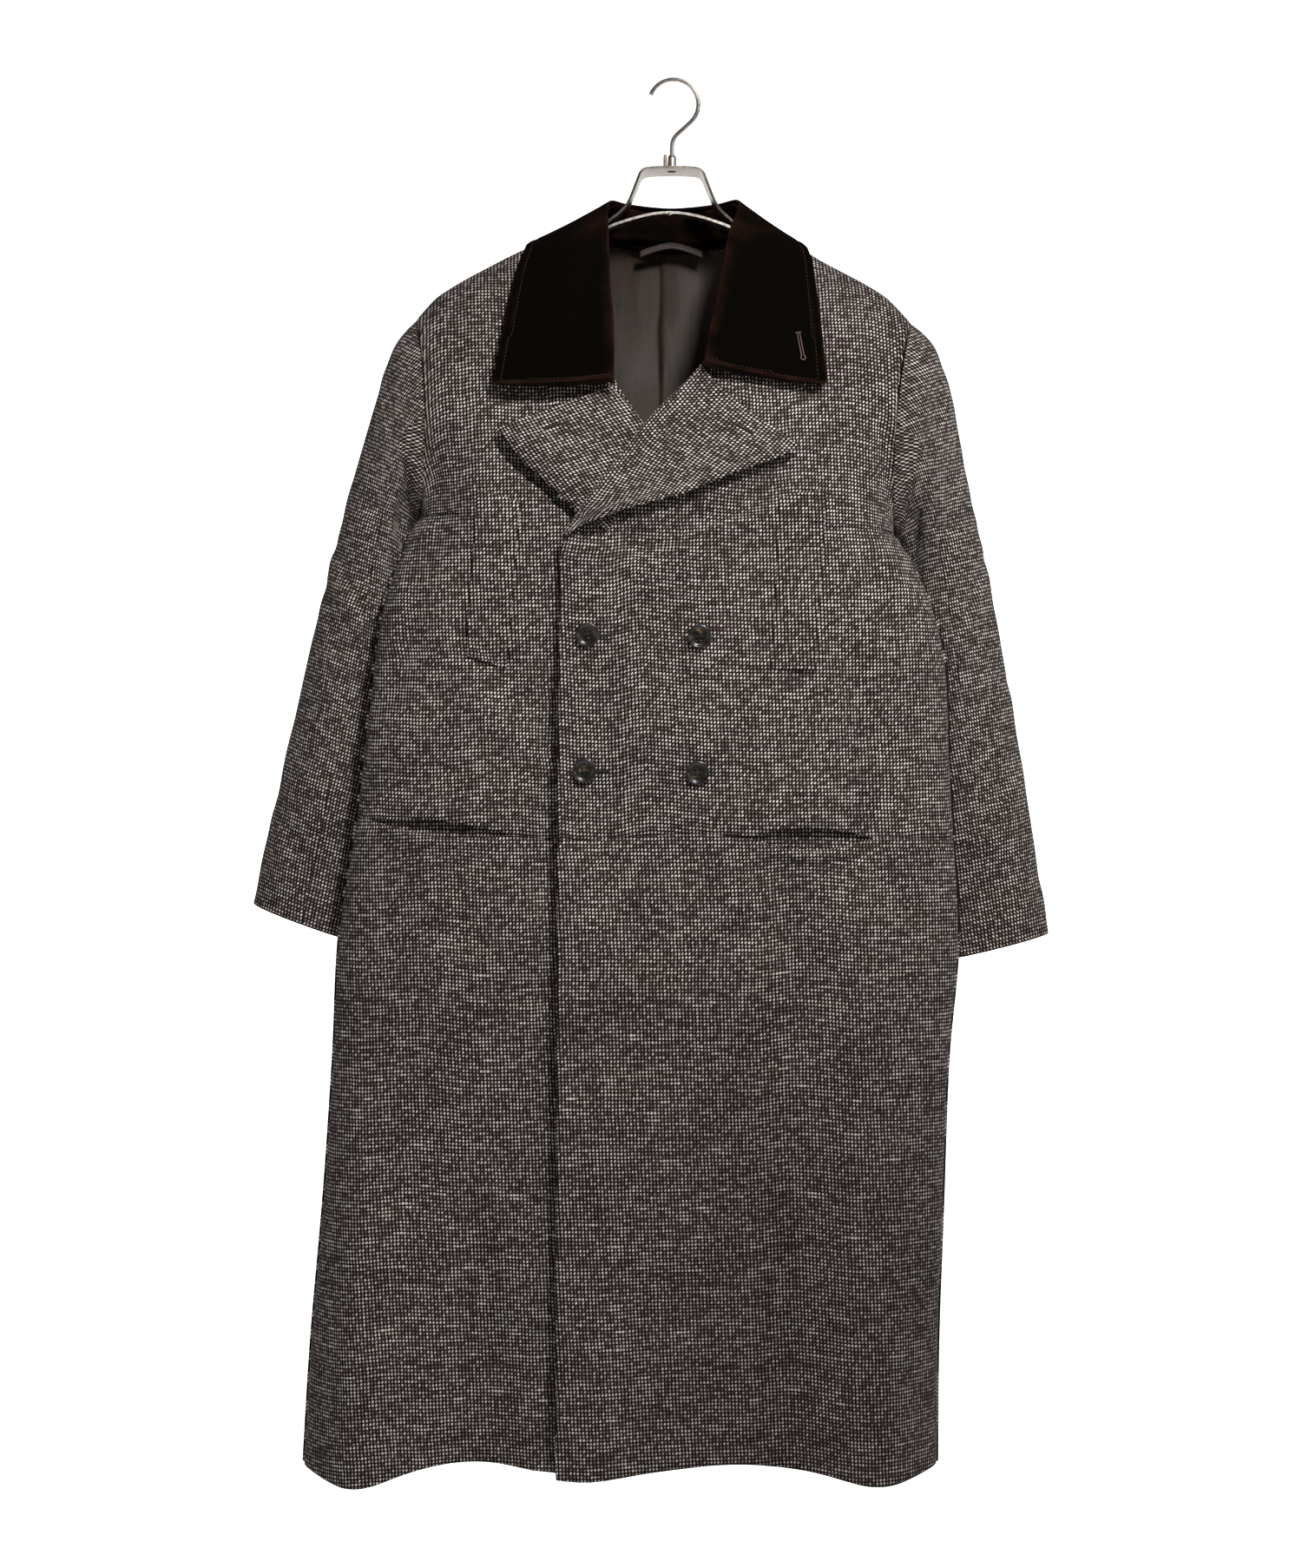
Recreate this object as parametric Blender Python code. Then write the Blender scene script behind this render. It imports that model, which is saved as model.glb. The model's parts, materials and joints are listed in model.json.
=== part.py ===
"""Long double-breasted tweed overcoat hanging on a metal hanger.

Sizes are millimetres, turned into metres where a mesh is made. +X is the viewer's
right, +Y points away from the viewer, +Z is up. The origin is the crown of the
hook's inside, where a rail carries the hanger. Left and right are the viewer's.
"""

import math
from collections import namedtuple

import bmesh
import bpy
from mathutils import Vector

METRES = 0.001

# Cloth and clearances
TWEED = 2.2
VELVET = 3.0
STAND = 2.5
LAPEL = 2.5
WELT = 1.2
LINING = 1.0
SEAM_GAP = 0.3
LAY_GAP = 0.6
UNDER_LAP = 8.5

# Body: shoulder seam, armhole, sides, depth and hem
NECK_HALF = 94.0
NECK_MIDDLE = -1.0
NECK_Z = -152.0
NECK_DIP = 13.0
NECK_DEPTH = 45.0
FRONT_DEPTH = 95.0
BACK_DEPTH = 52.0
ARMHOLE_DEPTH = 52.0
ARMHOLE_BOW = 10.0
FRONT_POWER = 2.5
BACK_POWER = 2.0
ARMHOLE_TURN = math.radians(60)
HEM_Z = -1423.0
HEM_DIP = 0.4

Seam = namedtuple("Seam", "x z")
SHOULDER_SEAM = [
    Seam(-266, -247), Seam(-242, -222), Seam(-179, -186), Seam(-140, -168), Seam(-95, NECK_Z),
    Seam(93, NECK_Z), Seam(120, -166), Seam(151, -185), Seam(217, -222), Seam(245, -250),
]

Side = namedtuple("Side", "z x y")
LEFT_SIDE = [
    Side(-452, -262, 8), Side(-466, -271, 0), Side(-482, -277, -9), Side(-544, -297, -25), Side(-654, -312, -28),
    Side(-766, -325, -28), Side(-877, -342, -27), Side(-1010, -349, -25), Side(-1153, -359, -22),
    Side(-1300, -372, -20), Side(-1425, -380, -18),
]
RIGHT_SIDE = [
    Side(-470, 228, 8), Side(-482, 235, 0), Side(-497, 243, -9), Side(-536, 261, -22), Side(-602, 277, -27),
    Side(-708, 282, -28), Side(-779, 286, -28), Side(-887, 291, -27), Side(-1010, 281, -25),
    Side(-1153, 276, -22), Side(-1300, 271, -20), Side(-1425, 270, -18),
]

Depth = namedtuple("Depth", "z front back")
DEPTHS = [
    Depth(-470, -FRONT_DEPTH, BACK_DEPTH), Depth(-780, -94, 50),
    Depth(-1100, -86, 46), Depth(-1425, -78, 44),
]

# Soft folds of the skirt: place and reach across, push at the hem (minus is forward)
Fold = namedtuple("Fold", "face x reach push")
FOLDS = [
    Fold(-1, -325, 48, -30), Fold(-1, -205, 62, 18), Fold(-1, -93, 50, -12),
    Fold(-1, 62, 80, 15), Fold(-1, 208, 52, -26),
    Fold(1, -230, 70, 16), Fold(1, -70, 60, -14), Fold(1, 110, 75, 16),
]
FOLD_TOP = -930.0

# Front edges, waist seam and the pockets that gape in it
Edge = namedtuple("Edge", "z x")
OVER_EDGE = [
    Edge(NECK_Z, 94), Edge(-180, 68), Edge(-215, 58), Edge(-261, 44), Edge(-300, 30),
    Edge(-364, -28), Edge(-447, -91), Edge(-479, -110), Edge(-520, -114), Edge(-1425, -118),
]
UNDER_EDGE = [
    Edge(NECK_Z, -96), Edge(-180, -76), Edge(-260, -72), Edge(-315, -62), Edge(-355, -37),
    Edge(-480, 50), Edge(-870, 45), Edge(-1425, -71),
]
Waist = namedtuple("Waist", "x z")
WAIST = [
    Waist(-330, -762), Waist(-163, -779), Waist(-115, -785), Waist(20, -778),
    Waist(80, -782), Waist(290, -783),
]
Pocket = namedtuple("Pocket", "side start end up down")
POCKETS = [Pocket(-1, -307, -163, 6, 9), Pocket(1, 71, 201, 10, 11)]
FACING_MARGIN = 9.0
FACING_SINK = TWEED + 0.65
WELT_LIFT = 1.2

# Chest welts: corners as x and z, from the top outer one round to the lower outer one
Corner = namedtuple("Corner", "x z")
WELTS = {
    "welt_left": (-1, [Corner(-197, -431), Corner(-155, -445), Corner(-168, -612), Corner(-209, -600)]),
    "welt_right": (1, [Corner(152, -432), Corner(106, -440), Corner(97, -612), Corner(140, -614)]),
}

# Lapels: points of the roll line and of the free edge, tip first
Flap = namedtuple("Flap", "s roll_x roll_z free_x free_z")
OVER_LAPEL = [
    Flap(0.0, 30, -306, 124, -390), Flap(0.35, -28, -364, 16, -436),
    Flap(0.75, -91, -447, -70, -462), Flap(1.0, -109, -476, -102, -473),
]
UNDER_LAPEL = [
    Flap(0.0, -63, -327, -177, -371), Flap(0.5, -37, -357, -120, -426), Flap(1.0, -15, -390, -68, -474),
]
LAPEL_LIFT = 5.0

# Collar: the roll at the top of the stand, and the free edge of the fall
Collar = namedtuple("Collar", "s roll_x roll_y roll_z free_x free_y free_z out_y out_z")
COLLAR = [
    Collar(0.00, -63, -82, -324, -184, -62, -326, -1, 0),
    Collar(0.12, -63, -68, -267, -174, -50, -271, -1, 0.1),
    Collar(0.23, -67, -52, -218, -164, -34, -215, -1, 0.3),
    Collar(0.32, -69, -30, -170, -155, -16, -183, -1, 1),
    Collar(0.40, -68, 0, -125, -146, 2, -167, 0, 1),
    Collar(0.45, -49, 30, -121, -112, 42, -186, 1, 0.6),
    Collar(0.475, -26, 42, -122, -62, 62, -196, 1, 0.3),
    Collar(0.50, -2, 46, -123, -2, 68, -199, 1, 0.1),
    Collar(0.525, 24, 42, -122, 56, 62, -196, 1, 0.3),
    Collar(0.55, 47, 30, -121, 104, 42, -186, 1, 0.6),
    Collar(0.60, 69, 0, -124, 132, 2, -169, 0, 1),
    Collar(0.68, 58, -30, -165, 141, -16, -184, -1, 1),
    Collar(0.77, 52, -50, -202, 145, -34, -218, -1, 0.3),
    Collar(0.88, 41, -66, -255, 149, -50, -261, -1, 0.1),
    Collar(1.00, 31, -80, -308, 154, -64, -327, -1, 0),
]
STAND_SPAN = (0.40, 0.60)
COLLAR_CLEAR = VELVET + 2.0
STAND_FOOT_HALF = 91.0
STAND_BEHIND = 4.0
STAND_BELOW = 6.0

# Sleeves: outer and inner contour seen from the front, and half the depth
Sleeve = namedtuple("Sleeve", "t outer_x outer_z outer_y inner_x inner_z inner_y depth")
LEFT_SLEEVE = [
    Sleeve(0.00, -266, -247, 0, -262, -452, 8, ARMHOLE_DEPTH),
    Sleeve(0.08, -294, -293, 2, -267, -458, 16, 53), Sleeve(0.16, -308, -329, 5, -269, -472, 28, 53),
    Sleeve(0.30, -330, -401, 14, -268, -500, 38, 50), Sleeve(0.45, -351, -471, 26, -274, -560, 42, 50),
    Sleeve(0.60, -370, -540, 34, -283, -640, 43, 50), Sleeve(0.80, -406, -690, 40, -306, -768, 43, 48),
    Sleeve(1.00, -442, -853, 42, -329, -894, 43, 43),
]
RIGHT_SLEEVE = [
    Sleeve(0.00, 245, -250, 0, 228, -470, 8, ARMHOLE_DEPTH),
    Sleeve(0.08, 274, -290, 2, 233, -476, 16, 53), Sleeve(0.16, 289, -329, 5, 235, -490, 28, 53),
    Sleeve(0.30, 304, -401, 14, 235, -518, 38, 50), Sleeve(0.45, 321, -471, 26, 240, -575, 42, 49),
    Sleeve(0.60, 337, -542, 34, 247, -655, 43, 47), Sleeve(0.80, 366, -706, 40, 264, -783, 43, 44),
    Sleeve(1.00, 395, -884, 42, 279, -913, 43, 40),
]
SLEEVE_STEPS = [0.004, 0.04, 0.08, 0.12, 0.16, 0.23, 0.30, 0.375, 0.45, 0.55, 0.65, 0.75, 0.85, 0.93, 1.0]
SLEEVE_SEAM = 0.0025
SLEEVE_SPLIT = math.pi / 2
SLEEVE_BOW_REACH = 0.12

# Grid steps
ARMHOLE_ROWS = [0.0, 0.07, 0.15, 0.29, 0.43, 0.57, 0.71, 0.86, 1.0]
ARMHOLE_STEPS = len(ARMHOLE_ROWS) - 1
CHEST_STEPS = 6
SKIRT_STEPS = 8
FRONT_COLUMNS = 15
BACK_COLUMNS = 22
SIDE_SEAM = 0.0003
SHOULDER_SEAM_ROW = 0.001

# Buttons: centres as x and z
BUTTON_RADIUS = 12.0
BUTTON_THICK = 4.2
BUTTON_RIM = 2.2
BUTTON_DISH = 1.2
BUTTON_CHAMFER = 1.6
BUTTON_CROWN = 0.9
BUTTON_SLOPE = 1.2
BUTTON_HOLE = 1.1
BUTTON_HOLE_PITCH = 2.3
BUTTONS = [Corner(-87, -579), Corner(25, -581), Corner(-90, -715), Corner(23, -717)]

# Hanger
HOOK_WIRE = 2.25
HOOK_RADIUS = 25.65
HOOK_TIP = math.radians(158)
HOOK_SWEEP_END = math.radians(-46)
HOOK_LEAD = 24.0
HOOK_SHANK = 16.0
HOOK_BEND_END = -72.0
NECK_X = -1.8
FERRULE_TOP = -77.0
FERRULE_BOTTOM = -91.0
FERRULE_RADIUS = 4.6
BAND_THICK = 2.6
ARM_RADIUS = 7.0
ARM_Y = -1.0
ARM_SINK = 3.9
ARM_STEP = 4.0
ARM_START = 72.0
ARM_SHORT = 26.0
ARM_TAPER = 0.7
Route = namedtuple("Route", "x z half")
BAND_ROUTE = [
    Route(-76, -152.2, 6), Route(-66, -143.4, 8), Route(-57, -137, 10), Route(-48, -127, 13),
    Route(-39, -106, 17), Route(-35, -97, 18), Route(-27, -92.5, 18), Route(NECK_X, -91.6, 18),
    Route(23, -92.5, 18), Route(31, -97, 18), Route(35, -106, 17), Route(44, -127, 13),
    Route(52, -137, 10), Route(60, -143.6, 8), Route(69, -152.4, 6),
]
BOW_ROUTE = [
    Route(-84, -157, 6), Route(-75, -154.6, 7), Route(-60, -148, 8), Route(-30, -139, 8), Route(-4, -136, 8),
    Route(22, -139, 8), Route(50, -147.5, 8), Route(68, -154.8, 7), Route(79, -157, 6),
]

# Hanger loop sewn below the collar stand
LOOP_HALF = 33.0
LOOP_RISE = 9.0
LOOP_WIDTH = 6.0
LOOP_THICK = 1.4
LOOP_GAP = 1.2
LOOP_BELOW = 12.0


def blend(a, b, t):
    return a + (b - a) * t


def ease(t):
    t = min(1.0, max(0.0, t))
    return t * t * (3 - 2 * t)


def read(table, column, at):
    """Smooth value of one column where the table's first column reaches a place."""
    keys = [row[0] for row in table]
    values = [getattr(row, column) for row in table]
    if keys[0] > keys[-1]:
        keys = [-key for key in keys]
        at = -at
    at = min(keys[-1], max(keys[0], at))
    i = 0
    while i < len(keys) - 2 and at > keys[i + 1]:
        i += 1

    def slope(k):
        before = max(k - 1, 0)
        after = min(k + 1, len(keys) - 1)
        return (values[after] - values[before]) / (keys[after] - keys[before])

    span = keys[i + 1] - keys[i]
    t = (at - keys[i]) / span
    rise = values[i + 1] - values[i]
    start = slope(i) * span - rise
    end = rise - slope(i + 1) * span
    return blend(values[i], values[i + 1], t) + t * (1 - t) * (start * (1 - t) + end * t)


# The body's surface. A row runs across the coat from its left to its right side:
# rows 0 to 1 go down the armhole, rows 1 to 2 from the armpit to the hem.

def side_table(side):
    return LEFT_SIDE if side < 0 else RIGHT_SIDE


def row_end(side, face, row):
    """Where a row meets the armhole or the side seam."""
    table = side_table(side)
    armpit = table[0]
    if row > 1:
        z = blend(armpit.z, HEM_Z, row - 1)
        return Vector((read(table, "x", z), read(table, "y", z), z))
    shoulder = SHOULDER_SEAM[0] if side < 0 else SHOULDER_SEAM[-1]
    turn = math.pi * row
    down = (1 - math.cos(turn)) / 2
    x = blend(shoulder.x, armpit.x, down) - side * ARMHOLE_BOW * math.sin(turn) ** 2
    y = armpit.y * down + face * ARMHOLE_DEPTH * math.sin(turn)
    return Vector((x, y, blend(shoulder.z, armpit.z, down)))


def seam_z(x):
    """Height of the shoulder seams and of the neckline between them."""
    across = (x - NECK_MIDDLE) / NECK_HALF
    if abs(across) >= 1:
        return read(SHOULDER_SEAM, "z", x)
    return NECK_Z - NECK_DIP * math.cos(across * math.pi / 2)


def row_z(row, x):
    left = row_end(-1, -1, row)
    right = row_end(1, -1, row)
    z = blend(left.z, right.z, (x - left.x) / (right.x - left.x))
    if row >= 1:
        return z
    first, last = SHOULDER_SEAM[0], SHOULDER_SEAM[-1]
    straight = blend(first.z, last.z, (x - first.x) / (last.x - first.x))
    return z + (seam_z(x) - straight) * (1 + math.cos(math.pi * row)) / 2


def row_turn(row):
    """How far round a row's section turns by its end."""
    return blend(ARMHOLE_TURN, math.pi / 2, ease((row - 0.55) / 0.45))


def row_y(face, row, x, z, level):
    """Depth at a place of a row; level is 1 at its middle and 0 at its ends."""
    left = row_end(-1, face, row)
    right = row_end(1, face, row)
    end_y = left.y if x < (left.x + right.x) / 2 else right.y
    if row >= 1:
        middle = read(DEPTHS, "front" if face < 0 else "back", z)
    else:
        middle = face * (FRONT_DEPTH if face < 0 else BACK_DEPTH) * math.sin(math.pi * row / 2)
    y = blend(end_y, middle, level)
    if face > 0 and row < 1:
        across = (x - NECK_MIDDLE) / NECK_HALF
        if abs(across) < 1:
            y += NECK_DEPTH * math.sqrt(1 - across * across) * (1 + math.cos(math.pi * row)) / 2
    return y + fold_push(face, x, z) * min(1.0, level * 1.6)


def fold_push(face, x, z):
    growth = ease((FOLD_TOP - z) / (FOLD_TOP - HEM_Z))
    total = 0.0
    for fold in FOLDS:
        if fold.face == face:
            total += fold.push * math.exp(-(((x - fold.x) / fold.reach) ** 2))
    return total * growth


def body_point(face, row, across):
    """Point of the front or back; across runs from -1 at the left to 1 at the right."""
    left = row_end(-1, face, row)
    right = row_end(1, face, row)
    power = 2 / (FRONT_POWER if face < 0 else BACK_POWER)
    turn = row_turn(row)
    out = (math.sin(abs(across) * turn) / math.sin(turn)) ** power
    low = max(0.0, math.cos(turn)) ** power
    level = (max(0.0, math.cos(across * turn)) ** power - low) / (1 - low)
    middle = (left.x + right.x) / 2
    x = middle + math.copysign(out, across) * (right.x - left.x) / 2
    z = row_z(row, x)
    return Vector((x, row_y(face, row, x, z, level), z))


def row_at(x, z):
    low, high = 0.0, 2.2
    for _ in range(20):
        half = (low + high) / 2
        if row_z(half, x) > z:
            low = half
        else:
            high = half
    return (low + high) / 2


def across_at(face, row, x):
    left = row_end(-1, face, row)
    right = row_end(1, face, row)
    power = 2 / (FRONT_POWER if face < 0 else BACK_POWER)
    turn = row_turn(row)
    ratio = (x - (left.x + right.x) / 2) / ((right.x - left.x) / 2)
    ratio = min(1.0, max(-1.0, ratio))
    angle = math.asin(min(1.0, abs(ratio) ** (1 / power) * math.sin(turn)))
    return math.copysign(angle / turn, ratio)


def surface_y(face, x, z):
    """Depth of the front or back at a place seen from the front."""
    row = row_at(x, z)
    return body_point(face, row, across_at(face, row, x)).y


def under_shift(x, row):
    """How far the under front lies behind the over front."""
    return UNDER_LAP * ease((x + 260) / 130) * ease(row / 0.45)


def front_y(side, x, z):
    """Outer face of the under (left) or over (right) front."""
    y = surface_y(-1, x, z)
    return y + under_shift(x, row_at(x, z)) if side < 0 else y


# Solids

def material(name, colour, roughness, metallic=0.0):
    made = bpy.data.materials.new(name)
    made.use_nodes = True
    shader = made.node_tree.nodes["Principled BSDF"]
    shader.inputs["Base Color"].default_value = (*colour, 1)
    shader.inputs["Roughness"].default_value = roughness
    shader.inputs["Metallic"].default_value = metallic
    return made


def solid(name, points, faces, finish):
    mesh = bpy.data.meshes.new(name)
    mesh.from_pydata([tuple(point * METRES) for point in points], [], faces)
    work = bmesh.new()
    work.from_mesh(mesh)
    bmesh.ops.recalc_face_normals(work, faces=work.faces)
    work.to_mesh(mesh)
    work.free()
    mesh.shade_smooth()
    mesh.set_sharp_from_angle(angle=math.radians(40))
    mesh.materials.append(finish)
    made = bpy.data.objects.new(name, mesh)
    bpy.context.scene.collection.objects.link(made)
    return made


def wall(name, outer, inner, finish):
    """Closed wall between two grids of points."""
    rows, columns = len(outer), len(outer[0])
    points = [point for line in outer for point in line]
    points += [point for line in inner for point in line]
    half = rows * columns

    def at(i, j, layer):
        return layer * half + i * columns + j

    faces = []
    for i in range(rows - 1):
        for j in range(columns - 1):
            faces.append((at(i, j, 0), at(i, j + 1, 0), at(i + 1, j + 1, 0), at(i + 1, j, 0)))
            faces.append((at(i, j, 1), at(i + 1, j, 1), at(i + 1, j + 1, 1), at(i, j + 1, 1)))
    for i in range(rows - 1):
        for j in (0, columns - 1):
            faces.append((at(i, j, 0), at(i + 1, j, 0), at(i + 1, j, 1), at(i, j, 1)))
    for j in range(columns - 1):
        for i in (0, rows - 1):
            faces.append((at(i, j, 0), at(i, j, 1), at(i, j + 1, 1), at(i, j + 1, 0)))
    return solid(name, points, faces, finish)


def normal_of(surface, u, v, outward):
    """Unit normal of a surface of two parameters, turned to the outward side."""
    step = 0.0008
    along = surface(u + step, v) - surface(u - step, v)
    across = surface(u, v + step) - surface(u, v - step)
    normal = along.cross(across).normalized()
    return normal if normal.dot(outward) > 0 else -normal


def clamp(value, low, high):
    """Keep a parameter inside its range while slopes are taken."""
    return min(high, max(low, value))


def body_normal(face, row, across):
    def place(u, v):
        return body_point(face, clamp(u, 0.0, 2.1), clamp(v, -1.0, 1.0))

    side = math.copysign(1.0, across)
    return normal_of(place, row, across, Vector((side * across ** 8, face, 0.6 * max(0.0, 1 - 4 * row))))


def row_of_waist(across, shift):
    """Row of the waist seam at a place across, moved up by a shift."""
    row = 1.3
    for _ in range(4):
        x = body_point(-1, row, across).x
        row = row_at(x, read(WAIST, "z", x) + shift(x))
    return row


def row_of_hem(face, across):
    x = body_point(face, 2.0, across).x
    return row_at(x, HEM_Z + HEM_DIP * fold_push(face, x, HEM_Z) * (1 - across ** 8))


def pocket_gape(column):
    def gape(x):
        for pocket in POCKETS:
            if pocket.start < x < pocket.end:
                swell = math.sin(math.pi * (x - pocket.start) / (pocket.end - pocket.start))
                return getattr(pocket, column) * swell
        return 0.0
    return gape


def inner_across(side, row):
    """Where a front's row starts: at the neck, the roll line or the front edge."""
    edge = OVER_EDGE if side > 0 else UNDER_EDGE
    low, high = -1.0, 1.0
    for _ in range(26):
        half = (low + high) / 2
        point = body_point(-1, row, half)
        if point.x < read(edge, "x", point.z):
            low = half
        else:
            high = half
    return (low + high) / 2


def front_wall(name, side, rows, finish):
    """A front panel; each row is given for a place across by its own function."""
    outer, inner = [], []
    for row_function in rows:
        start = inner_across(side, row_function(0.0))
        outer_line, inner_line = [], []
        for j in range(FRONT_COLUMNS + 1):
            across = blend(start, side * (1 - SIDE_SEAM), j / FRONT_COLUMNS)
            row = row_function(across)
            point = body_point(-1, row, across)
            if side < 0:
                point.y += under_shift(point.x, row)
            outer_line.append(point)
            inner_line.append(point - TWEED * body_normal(-1, row, across))
        outer.append(outer_line)
        inner.append(inner_line)
    return wall(name, outer, inner, finish)


def fixed_row(row):
    return lambda across: row


def chest_rows():
    upper_lip = pocket_gape("up")
    rows = [fixed_row(max(SHOULDER_SEAM_ROW, row)) for row in ARMHOLE_ROWS]
    for i in range(1, CHEST_STEPS + 1):
        part = i / CHEST_STEPS

        def row(across, part=part):
            waist = row_of_waist(across, lambda x: upper_lip(x) + SEAM_GAP / 2)
            return blend(1.0, waist, part)
        rows.append(row)
    return rows


def skirt_rows():
    lower_lip = pocket_gape("down")
    rows = []
    for i in range(SKIRT_STEPS + 1):
        part = i / SKIRT_STEPS

        def row(across, part=part):
            waist = row_of_waist(across, lambda x: -lower_lip(x) - SEAM_GAP / 2)
            return blend(waist, row_of_hem(-1, across), part)
        rows.append(row)
    return rows


def back_row(i, across):
    """Row of the back's grid, level with the fronts' rows at the side seams."""
    if i <= ARMHOLE_STEPS:
        return max(2 * SHOULDER_SEAM_ROW, ARMHOLE_ROWS[i])
    waist = blend(row_of_waist(-1, level_seam), row_of_waist(1, level_seam), (across + 1) / 2)
    i -= ARMHOLE_STEPS
    if i <= CHEST_STEPS:
        return blend(1.0, waist, i / CHEST_STEPS)
    return blend(waist, row_of_hem(1, across), (i - CHEST_STEPS) / SKIRT_STEPS)


def level_seam(x):
    return 0.0


def back_layer(name, rows, columns, sink, thick, finish):
    """Part of the back's grid as a wall, sunk below the back's outer face."""
    outer, inner = [], []
    for i in rows:
        outer_line, inner_line = [], []
        for j in columns:
            across = blend(-1 + SIDE_SEAM, 1 - SIDE_SEAM, j / BACK_COLUMNS)
            row = back_row(i, across)
            point = body_point(1, row, across)
            normal = body_normal(1, row, across)
            outer_line.append(point - sink * normal)
            inner_line.append(point - (sink + thick) * normal)
        outer.append(outer_line)
        inner.append(inner_line)
    return wall(name, outer, inner, finish)


def sleeve_point(side, t, turn):
    """Point of a sleeve; turn is 0 on its outer side, half a circle on its inner one."""
    table = LEFT_SLEEVE if side < 0 else RIGHT_SLEEVE
    down = (1 - math.cos(turn)) / 2
    x = blend(read(table, "outer_x", t), read(table, "inner_x", t), down)
    z = blend(read(table, "outer_z", t), read(table, "inner_z", t), down)
    y = blend(read(table, "outer_y", t), read(table, "inner_y", t), down)
    bow = ARMHOLE_BOW * max(0.0, 1 - t / SLEEVE_BOW_REACH) ** 2
    return Vector((
        x - side * bow * math.sin(turn) ** 2,
        y - read(table, "depth", t) * math.sin(turn),
        z,
    ))


def armhole_turn(k):
    """Angle of a step round the armhole, from its top to the front and on."""
    if k < 0:
        return -armhole_turn(-k)
    if k > ARMHOLE_STEPS:
        return 2 * math.pi - armhole_turn(2 * ARMHOLE_STEPS - k)
    return math.pi * ARMHOLE_ROWS[k]


def sleeve_turns(first, last):
    """Angles round a sleeve from seam to seam, with the armhole's steps between them."""
    steps = [armhole_turn(k) for k in range(-ARMHOLE_STEPS, 2 * ARMHOLE_STEPS + 1)]
    return [first] + [turn for turn in steps if first < turn < last] + [last]


def sleeve_wall(name, side, first, last, finish):
    """Half a sleeve between two seams."""
    def place(t, turn):
        return sleeve_point(side, clamp(t, 0.0, 1.0), turn)

    outer, inner = [], []
    for t in SLEEVE_STEPS:
        outer_line, inner_line = [], []
        core = (sleeve_point(side, t, 0) + sleeve_point(side, t, math.pi)) / 2
        for turn in sleeve_turns(first + SLEEVE_SEAM, last - SLEEVE_SEAM):
            point = place(t, turn)
            outer_line.append(point)
            inner_line.append(point - TWEED * normal_of(place, t, turn, point - core))
        outer.append(outer_line)
        inner.append(inner_line)
    return wall(name, outer, inner, finish)


def patch(name, side, points, lift, thick, finish):
    """A layer on a front: grid of x and z, moved out from the panel's points."""
    outer, inner = [], []
    for line in points:
        outer_line, inner_line = [], []
        for x, z, extra in line:
            point = Vector((x, front_y(side, x, z), z))
            row = row_at(x, z)
            normal = body_normal(-1, row, across_at(-1, row, x))
            outer_line.append(point + normal * (lift + extra + thick))
            inner_line.append(point + normal * (lift + extra))
        outer.append(outer_line)
        inner.append(inner_line)
    return wall(name, outer, inner, finish)


def lapel_wall(name, side, table, rows, columns, finish):
    points = []
    for i in range(rows + 1):
        s = i / rows
        line = []
        for j in range(columns + 1):
            w = j / columns
            x = blend(read(table, "roll_x", s), read(table, "free_x", s), w)
            z = blend(read(table, "roll_z", s), read(table, "free_z", s), w)
            line.append((x, z, LAPEL_LIFT * w * w * (1 - s)))
        points.append(line)
    return patch(name, side, points, LAY_GAP, LAPEL, finish)


def welt_wall(name, finish):
    side, corners = WELTS[name]
    top_outer, top_inner, low_inner, low_outer = corners
    rows, columns = 6, 2
    points = []
    for i in range(rows + 1):
        down = i / rows
        line = []
        for j in range(columns + 1):
            in_part = j / columns
            x = blend(blend(top_outer.x, low_outer.x, down), blend(top_inner.x, low_inner.x, down), in_part)
            z = blend(blend(top_outer.z, low_outer.z, down), blend(top_inner.z, low_inner.z, down), in_part)
            line.append((x, z, 0.0))
        points.append(line)
    return patch(name, side, points, WELT_LIFT, WELT, finish)


def pocket_facing(name, pocket, finish):
    """Strip of cloth seen inside a gaping pocket."""
    rows, columns = 3, 10
    points = []
    for i in range(rows + 1):
        line = []
        for j in range(columns + 1):
            x = blend(pocket.start - FACING_MARGIN, pocket.end + FACING_MARGIN, j / columns)
            top = pocket.up + FACING_MARGIN
            low = -pocket.down - FACING_MARGIN
            line.append((x, read(WAIST, "z", x) + blend(top, low, i / rows), 0.0))
        points.append(line)
    return patch(name, pocket.side, points, -FACING_SINK - WELT, WELT, finish)


# Collar

def inside_body(point):
    if point.z > seam_z(point.x):
        return False
    if point.y < 0:
        return point.y > surface_y(-1, point.x, point.z)
    return point.y < surface_y(1, point.x, point.z)


def outside(point, clearance):
    """True where nothing of the body lies within a clearance behind or below a point."""
    face = -1 if point.y < 0 else 1
    for turn in (0, 45, 90, 135):
        back = math.cos(math.radians(turn))
        down = math.sin(math.radians(turn))
        if inside_body(point - clearance * Vector((0, face * back, down))):
            return False
    return True


def pushed_clear(point, direction, clearance):
    """Move a point along a direction, as little as brings it clear of the body."""
    if outside(point, clearance):
        return point
    low, high = 0.0, 60.0
    for _ in range(16):
        half = (low + high) / 2
        if outside(point + direction * half, clearance):
            high = half
        else:
            low = half
    return point + direction * high


def collar_point(s, w):
    """Point of the fall's upper face, from the roll (w 0) to the free edge (w 1)."""
    roll = Vector([read(COLLAR, "roll_" + axis, s) for axis in "xyz"])
    free = Vector([read(COLLAR, "free_" + axis, s) for axis in "xyz"])
    out = Vector((0, read(COLLAR, "out_y", s), read(COLLAR, "out_z", s))).normalized()
    return pushed_clear(roll.lerp(free, w), out, COLLAR_CLEAR)


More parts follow.
